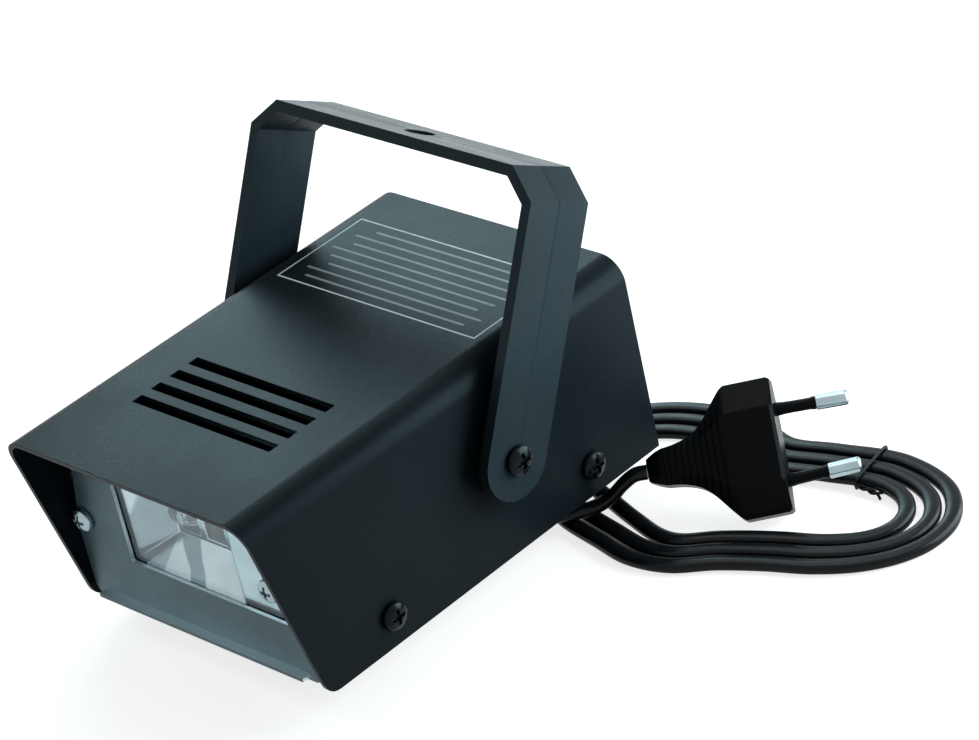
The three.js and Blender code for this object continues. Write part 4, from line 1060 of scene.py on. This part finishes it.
    def pins(self, shop: Shop, turn: Matrix) -> list[bpy.types.Object]:
        """Makes the two pins and their sleeves.

        Args:
            shop: Where pieces are made.
            turn: The plug's matrix in the case's frame.

        Returns:
            The pieces.
        """
        neck = self.sleeve_end + self.sleeve_gap
        tip = [(self.pin_root, 0.0), (self.pin_root, self.core_radius), (neck, self.core_radius),
               (neck, self.pin_radius - self.pin_collar), (neck + self.pin_collar, self.pin_radius)]
        for step in range(self.pin_steps + 1):
            angle = step / self.pin_steps * math.pi / 2
            tip.append((self.pin_length - self.pin_round * (1 - math.sin(angle)),
                        self.pin_radius - self.pin_round * (1 - math.cos(angle))))
        tip.append((self.pin_length, 0.0))
        made = []
        for number, side in ((1, -1), (2, 1)):
            stand = (turn @ Matrix.Translation((0.0, 0.0, side * self.pin_spread))
                     @ Matrix.Rotation(math.radians(side * self.pin_lean), 4, "Y"))
            for kind, profile, finish in (("plug_pin", tip, NICKEL), ("pin_sleeve", self.sleeve, PLUG_VINYL)):
                node = f"{kind}_{number}"
                made.append(shop.settle(node + "_fine", shop.turned(profile, stand), finish, node, sharp=40.0))
        return made

    @staticmethod
    def follow(verts: list[bmesh.types.BMVert], corners: list[tuple[float, float]]) -> list[tuple[float, float]]:
        """Pairs a ring's corners with the next section's, corner by corner.

        Args:
            verts: The ring's vertices.
            corners: The next section's corners, in order.

        Returns:
            A corner for each vertex.
        """
        def turn(y: float, z: float) -> float:
            """Angle of a corner about the plug's axis."""
            return math.atan2(y, z) % FULL_TURN

        ranks = {vert: rank for rank, vert in enumerate(sorted(verts, key=lambda v: turn(v.co.y, v.co.z)))}
        ordered = sorted(corners, key=lambda c: turn(*c))
        return [ordered[ranks[vert]] for vert in verts]


@dataclass
class CordSet:
    """The flat flex from the boot through its coil to the plug, with all that is on it.

    Lengths are in millimetres in the case's own frame, except the distance in metres at which its mesh is merged.
    """

    width: float = 4.6
    thickness: float = 3.2
    flex_sides: int = 24
    flex_power: float = 0.8
    level: float = -6.4
    middle: tuple[float, float] = (68.3, 119.4)
    radius: float = 45.4
    waves: tuple[tuple[int, float, float], ...] = ((2, 0.309, 0.092), (3, 0.028, 0.097), (4, 0.037, 0.056))
    pitch: float = 5.4
    loops: float = 2.95
    steps: int = 24
    start_angle: float = 222.0
    crowd: float = 0.22
    peel: float = 2.5
    peel_steps: int = 3
    straight: float = 3.2
    joint: float = 0.3
    merge_at: float = 1e-6
    boot_edge: float = 0.3
    boot_tip: Triple = (-28.0, 144.8, 11.0)
    lead_route: tuple[Triple, ...] = (
        (-26.8, 154, 10.2), (-21, 161.5, 7.4), (-10, 164, 3.8), (2, 158.5, 0.6), (12.5, 148, -1.8),
        (20, 138.5, -2.5), (25.6, 129, -2.6), (27.4, 120, -4.4), (27.2, 112.8, -6.1), (29.6, 108.2, -6.4))
    tail_route: tuple[Triple, ...] = (
        (32, 87.2, -5.2), (36, 86.6, -3.4), (40.5, 89.4, -2.5), (45.6, 95.2, -2.5), (49.3, 98.8, -0.3),
        (52.4, 101.5, 3.4))
    plug_place: Triple = (83.9, 128.9, 8.2291)
    plug_heading: float = 41.0
    plug_pitch: float = 4.0
    plug_lean: float = 41.0
    plug_length: float = 35.0
    tightest: float = 9.5
    bend_reach: int = 3
    ease_reach: int = 9
    ease_rounds: int = 12
    ease_pull: float = 1.15
    tie_angle: float = 52.0
    tie_lift: float = 1.1
    tie_spread: float = 60.0
    tie_wire: float = 0.4
    tie_room: tuple[float, float] = (0.15, 0.1)
    tie_powers: tuple[float, float] = (0.35, 0.6)
    tie_skew: float = 0.5
    tie_steps: int = 28
    tie_smooth: int = 3
    tie_tail: float = 8.0
    tie_tail_steps: int = 24
    tie_twists: float = 1.4
    tie_twist_share: float = 0.98
    tie_opens_at: float = 0.85
    tie_opens_by: float = 7.2
    tie_way: Triple = (0.98, 0.05, -0.16)

    def turn_point(self, angle: float, inset: float) -> tuple[Vector, Vector]:
        """A point of the coil.

        Args:
            angle: Angle about the coil's middle, in radians.
            inset: How far the turn is drawn in, in millimetres.

        Returns:
            The point and the direction in which the cord runs there.
        """
        share, slope = 1.0, 0.0
        for count, cos_share, sin_share in self.waves:
            share += cos_share * math.cos(count * angle) + sin_share * math.sin(count * angle)
            slope += count * (sin_share * math.cos(count * angle) - cos_share * math.sin(count * angle))
        radius, growth = self.radius * share, self.radius * slope
        along = Vector((
            growth * math.cos(angle) - radius * math.sin(angle),
            growth * math.sin(angle) + radius * math.cos(angle), 0.0)).normalized()
        inward = Vector((-along.y, along.x, 0.0))
        point = Vector((
            self.middle[0] + radius * math.cos(angle), self.middle[1] + radius * math.sin(angle), self.level))
        return point + inward * inset, -along

    def lift(self, angle: float) -> float:
        """How far the cord lifts where the tie passes under it.

        Args:
            angle: Angle about the coil's middle, in radians.

        Returns:
            The lift in millimetres.
        """
        away = angle - math.radians(self.tie_angle)
        share = abs(math.atan2(math.sin(away), math.cos(away))) / math.radians(self.tie_spread)
        return self.tie_lift * math.cos(share * math.pi / 2) ** 2 if share < 1 else 0.0

    def coil(self) -> list[Vector]:
        """The points of the coil, from its outer end inwards.

        Returns:
            The points, with a straight bit at each end.
        """
        count = round(self.loops * self.steps)
        points: list[Vector] = []
        ways: list[Vector] = []
        for step in range(count + 1):
            even = math.radians(self.start_angle) - step / self.steps * FULL_TURN
            angle = even - self.crowd * math.sin(2 * even)
            peel = max(0.0, 1 - (count - step) / self.peel_steps)
            point, way = self.turn_point(angle, self.pitch * step / self.steps + self.peel * peel ** 2)
            point.z += self.lift(angle)
            points.append(point)
            ways.append(way)
        return [points[0] - ways[0] * self.straight, *points, points[-1] + ways[-1] * self.straight]

    def plug_frame(self) -> Matrix:
        """Where the plug lies.

        Returns:
            Its matrix, in millimetres in the case's frame.
        """
        turn = (Matrix.Rotation(math.radians(self.plug_heading), 4, "Z")
                @ Matrix.Rotation(-math.radians(self.plug_pitch), 4, "Y")
                @ Matrix.Rotation(-math.radians(self.plug_lean), 4, "X"))
        return Matrix.Translation(self.plug_place) @ turn

    def route(self) -> list[Vector]:
        """The whole route of the cord from the boot's tip to the plug's grip.

        Returns:
            Control points, in millimetres in the case's frame.
        """
        coil = self.coil()
        out = (coil[0] - coil[1]).normalized()
        into = (coil[-1] - coil[-2]).normalized()
        plug = self.plug_frame()
        tip = Vector(self.boot_tip)
        lead = [tip, tip + Vector((0.0, self.straight, 0.0)), *map(Vector, self.lead_route),
                coil[-1] + into * (self.joint + self.straight)]
        tail = [coil[0] + out * (self.joint + self.straight), *map(Vector, self.tail_route),
                plug @ Vector((-self.plug_length - self.joint - self.straight, 0, 0)),
                plug @ Vector((-self.plug_length - self.joint, 0, 0))]
        return [*lead, *reversed(coil), *tail]

    @staticmethod
    def bridge(start: Vector, leave: Vector, end: Vector, arrive: Vector, steps: int) -> list[Vector]:
        """Points of a smooth bridge between two places.

        Args:
            start: First place.
            leave: Way and pull with which the bridge leaves it.
            end: Last place.
            arrive: Way and pull with which the bridge reaches it.
            steps: Number of steps.

        Returns:
            The points, from the first place to just before the last one.
        """
        points = []
        for step in range(steps):
            t = step / steps
            points.append(start * (2 * t ** 3 - 3 * t ** 2 + 1) + leave * (t ** 3 - 2 * t ** 2 + t)
                          + end * (3 * t ** 2 - 2 * t ** 3) + arrive * (t ** 3 - t ** 2))
        return points

    def line(self) -> list[Vector]:
        """The middle line of the flex, a point for each millimetre or so, with its tightest bends eased.

        Returns:
            The points, in millimetres in the case's frame.
        """
        knots = self.route()
        ghost = [knots[0] * 2 - knots[1], *knots, knots[-1] * 2 - knots[-2]]
        dense: list[Vector] = []
        for before, here, there, after in zip(ghost, ghost[1:], ghost[2:], ghost[3:]):
            near, span, far = ((b - a).length ** 0.5 for a, b in ((before, here), (here, there), (there, after)))
            leave = (there - here) + span * ((here - before) / near - (there - before) / (near + span))
            arrive = (there - here) + span * ((after - there) / far - (after - here) / (span + far))
            dense += self.bridge(here, leave, there, arrive, max(1, round(span ** 2)))
        dense.append(knots[-1])
        reach = self.ease_reach
        for _ in range(self.ease_rounds):
            radius, place = min((self.bend(dense, place), place) for place in range(reach, len(dense) - reach))
            if radius > self.tightest:
                break
            first, last = place - reach, place + reach
            gap = (dense[last] - dense[first]).length * self.ease_pull
            leave = (dense[first + 1] - dense[first - 1]).normalized() * gap
            arrive = (dense[last] - dense[last - 1]).normalized() * gap
            dense[first:last] = self.bridge(dense[first], leave, dense[last], arrive, last - first)
        return dense

    def bend(self, points: list[Vector], place: int) -> float:
        """Radius of the bend at a place.

        Args:
            points: The line's points.
            place: The point's number.

        Returns:
            The radius of the circle through it and a neighbour on each side.
        """
        before, here, after = points[place - self.bend_reach], points[place], points[place + self.bend_reach]
        corner = (here - before).cross(after - here).length
        return (here - before).length * (after - here).length * (before - after).length / (2 * max(corner, 1e-6))

    def from_middle(self, point: Vector) -> float:
        """How far a point lies from the coil's middle, in plan."""
        return math.hypot(point.x - self.middle[0], point.y - self.middle[1])

    def tie(self, shop: Shop) -> bpy.types.Object:
        """Makes the wire tie: a loop round the turns with its two ends twisted together.

        Args:
            shop: Where pieces are made.

        Returns:
            The tie.
        """
        turns = 1 + (self.start_angle - self.tie_angle) / 360
        middle, along = self.turn_point(math.radians(self.tie_angle), self.pitch * turns)
        middle.z = self.level + self.tie_lift
        across = UP.cross(along)
        half = self.pitch + self.width / 2 + self.tie_wire + self.tie_room[0]
        rise = self.thickness / 2 + self.tie_wire + self.tie_room[1]
        loop = []
        for step in range(self.tie_steps):
            angle = step / self.tie_steps * FULL_TURN
            side = squared(math.cos(angle), self.tie_powers[0]) * half
            height = squared(math.sin(angle), self.tie_powers[1]) * rise
            loop.append(middle + across * side + UP * height + along * (self.tie_skew * math.sin(angle)))
        inner = min((middle + across * half, middle - across * half), key=self.from_middle)
        way = Vector(self.tie_way).normalized()
        aside = way.cross(UP).normalized()
        ends = [self.tie_end(inner, way, aside, phase) for phase in (0.0, math.pi)]
        wires = self.wires([(loop, True), *((end, False) for end in ends)])
        return shop.settle("cord_tie_fine", wires, SATIN_PLASTIC, "cord_tie", slot="tie_plastic", sharp=60.0)

    def tie_end(self, root: Vector, way: Vector, aside: Vector, phase: float) -> list[Vector]:
        """One of the tie's twisted ends.

        Args:
            root: Where it leaves the loop.
            way: The way in which the twist runs.
            aside: A way square to it.
            phase: Angle at which the wire starts, in radians.

        Returns:
            Points along the wire.
        """
        points = []
        for step in range(self.tie_tail_steps + 1):
            share = step / self.tie_tail_steps
            angle = phase + share * self.tie_twists * FULL_TURN
            spread = self.tie_wire * (self.tie_twist_share + self.tie_opens_by * max(0.0, share - self.tie_opens_at))
            points.append(root + way * (share * self.tie_tail) + aside * (spread * math.cos(angle))
                          + aside.cross(way) * (spread * math.sin(angle)))
        return points

    def wires(self, lines: list[tuple[list[Vector], bool]]) -> bpy.types.Mesh:
        """Makes the tie's wires.

        Args:
            lines: For each wire its points in the case's frame, and whether it closes on itself.

        Returns:
            The wires' mesh.
        """
        data = bpy.data.curves.new("wire_line", "CURVE")
        data.bevel_depth = self.tie_wire * MM
        data.bevel_resolution = 3
        for points, closed in lines:
            spline = data.splines.new("BEZIER")
            spline.bezier_points.add(len(points) - 1)
            for knot, point in zip(spline.bezier_points, points):
                knot.co = CASE.at(*point)
                knot.handle_left_type = knot.handle_right_type = "AUTO"
            spline.resolution_u = self.tie_smooth
            spline.use_cyclic_u = closed
        return drawn_solid("wire_line", data)

    @staticmethod
    def poly(name: str, points: list[Triple], closed: bool) -> bpy.types.Curve:
        """Makes a curve of straight steps.

        Args:
            name: The curve's name.
            points: Its points, in metres.
            closed: Whether it closes on itself.

        Returns:
            The curve.
        """
        data = bpy.data.curves.new(name, "CURVE")
        spline = data.splines.new("POLY")
        spline.points.add(len(points) - 1)
        for knot, point in zip(spline.points, points):
            knot.co = (*point, 1.0)
        spline.use_cyclic_u = closed
        return data

    def outline(self) -> list[Triple]:
        """The section of the flex, in metres.

        Returns:
            Its points, in order.
        """
        points = []
        for number in range(self.flex_sides):
            angle = number / self.flex_sides * FULL_TURN
            u = squared(math.cos(angle), self.flex_power) * self.width / 2
            v = squared(math.sin(angle), self.flex_power) * self.thickness / 2
            points.append((u * MM, v * MM, 0.0))
        return points

    def build(self, shop: Shop) -> None:
        """Makes the cord and dresses what is on it.

        Args:
            shop: Where pieces are made.
        """
        path = [tuple(CASE.at(*point)) for point in self.line()]
        outline = placed("flex_outline", self.poly("flex_outline", self.outline(), True))
        data = self.poly("flex_line", path, False)
        data.twist_mode = "Z_UP"
        data.bevel_mode = "OBJECT"
        data.bevel_object = outline
        mesh = drawn_solid("flex_line", data)
        bpy.data.objects.remove(outline)
        shape = bmesh.new()
        shape.from_mesh(mesh)
        bmesh.ops.remove_doubles(shape, verts=shape.verts, dist=self.merge_at)
        bmesh.ops.recalc_face_normals(shape, faces=shape.faces)
        flex = shop.settle("flex_cord", mesh_of(shape, "flex_cord"), FLEX_VINYL, "cord_lead", "cord_hank", "cord_tail",
                           sharp=50.0)
        plug = Plug()
        on_it = [
            plug.build(shop, self.plug_frame()),
            *plug.pins(shop, self.plug_frame()),
            self.tie(shop),
            shop.refine("cord_boot", RUBBER, self.boot_edge),
        ]


@dataclass(frozen=True)
class Lamp:
    """A soft square lamp. Its place, the point it faces and its side are in metres, and its power in watts."""

    name: str
    place: Triple
    aim: Triple
    side: float
    power: float
    tint: Colour = WHITE

    def build(self) -> None:
        """Hangs the lamp."""
        data = bpy.data.lights.new(self.name, "AREA")
        data.shape = "SQUARE"
        data.size = self.side
        data.energy = self.power
        data.color = self.tint
        lamp = placed(self.name, data)
        way = Vector(self.aim) - Vector(self.place)
        lamp.visible_camera = False
        lamp.matrix_world = Matrix.Translation(self.place) @ way.to_track_quat("-Z", "Y").to_matrix().to_4x4()


@dataclass
class Studio:
    """Camera, lamps, floor and the light around them.

    The camera's angles are in degrees, its target and distance in millimetres, the target in the case's frame.
    """

    azimuth: float = 50.17
    elevation: float = 30.29
    roll: float = -12.96
    target: Triple = (59.78, 60.0, 64.05)
    distance: float = 925.65
    lens: float = 140.93
    sensor: float = 36.0
    clip: tuple[float, float] = (0.01, 50.0)
    ambient: float = 0.10
    floor_half: float = 6.0
    floor_grey: float = 0.50
    floor_roughness: float = 0.9
    floor_glow: float = 0.78
    lamps: tuple[Lamp, ...] = (
        Lamp("overhead", (-0.35, 0.35, 1.35), (0.0, 0.0, 0.05), 1.0, 5.5),
        Lamp("left_rear", (-0.42, 0.34, 0.34), (0.0, 0.0, 0.05), 0.3, 1.5, (0.60, 0.92, 1.0)),
        Lamp("right_rear", (0.21, 0.20, 0.10), (0.045, 0.01, 0.04), 0.22, 1.2, (0.86, 0.98, 1.0)),
        Lamp("front_top", (-0.62, -0.22, 0.74), (0.0, -0.06, 0.03), 0.4, 1.8, (0.8, 0.97, 1.0)))

    def camera(self) -> None:
        """Makes the camera at the photograph's viewing angle."""
        azimuth, elevation, roll = (math.radians(a) for a in (self.azimuth, self.elevation, self.roll))
        back = Vector((math.sin(azimuth) * math.cos(elevation), -math.cos(azimuth) * math.cos(elevation),
                       math.sin(elevation)))
        right = Vector((math.cos(azimuth), math.sin(azimuth), 0.0))
        up = back.cross(right)
        tilted_right = right * math.cos(roll) + up * math.sin(roll)
        tilted_up = up * math.cos(roll) - right * math.sin(roll)
        data = bpy.data.cameras.new("view")
        data.sensor_fit = "HORIZONTAL"
        data.sensor_width = self.sensor
        data.lens = self.lens
        data.clip_start, data.clip_end = self.clip
        camera = placed("view", data)
        place = CASE.at(*self.target) + back * self.distance * MM
        turn = Matrix((tilted_right, tilted_up, back)).transposed().to_4x4()
        camera.matrix_world = Matrix.Translation(place) @ turn
        bpy.context.scene.camera = camera

    @staticmethod
    def shown_rays(graph: Graph) -> Socket:
        """One for rays that come from the camera, a mirror or glass.

        Args:
            graph: The material's or the world's graph.

        Returns:
            The mask's socket.
        """
        rays = graph.add("ShaderNodeLightPath")
        shown = graph.math("MAXIMUM", rays.outputs["Is Camera Ray"], rays.outputs["Is Glossy Ray"])
        return graph.math("MAXIMUM", shown, rays.outputs["Is Transmission Ray"])

    def world(self) -> None:
        """Lights the scene evenly from all round, white where it is seen."""
        world = bpy.data.worlds.new("studio")
        world.use_nodes = True
        bpy.context.scene.world = world
        graph = Graph(world.node_tree)
        graph.feed(world.node_tree.nodes["Background"], {
            "Color": (*WHITE, 1.0), "Strength": graph.span(self.shown_rays(graph), 0.0, 1.0, self.ambient, 1.0)})

    def floor(self) -> None:
        """Makes the pale floor that the strobe stands on."""
        shape = bmesh.new()
        bmesh.ops.create_grid(shape, x_segments=1, y_segments=1, size=self.floor_half)
        mesh = mesh_of(shape, "floor")
        material = bpy.data.materials.new("pale_floor")
        material.use_nodes = True
        graph = Graph(material.node_tree)
        graph.feed(material.node_tree.nodes["Principled BSDF"], {
            "Base Color": (self.floor_grey, self.floor_grey, self.floor_grey, 1.0),
            "Roughness": self.floor_roughness, "Specular IOR Level": 0.0, "Emission Color": (*WHITE, 1.0),
            "Emission Strength": graph.product(self.shown_rays(graph), self.floor_glow)})
        mesh.materials.append(material)
        placed("floor", mesh)

    def build(self) -> None:
        """Makes the whole studio."""
        self.camera()
        self.world()
        self.floor()
        for lamp in self.lamps:
            lamp.build()
        bpy.context.scene.view_settings.view_transform = "Standard"


def main() -> None:
    """Builds the strobe and its studio, in order."""
    logging.basicConfig(level=logging.INFO, format="%(name)s: %(message)s")
    shop = Shop()
    Studio().build()
    CordSet().build(shop)
    for assembly in (Case(), LampUnit(), Electronics(), SpeedControl(), Bracket()):
        assembly.build(shop)
        LOG.info("%s done", type(assembly).__name__)


if __name__ == "__main__":
    main()
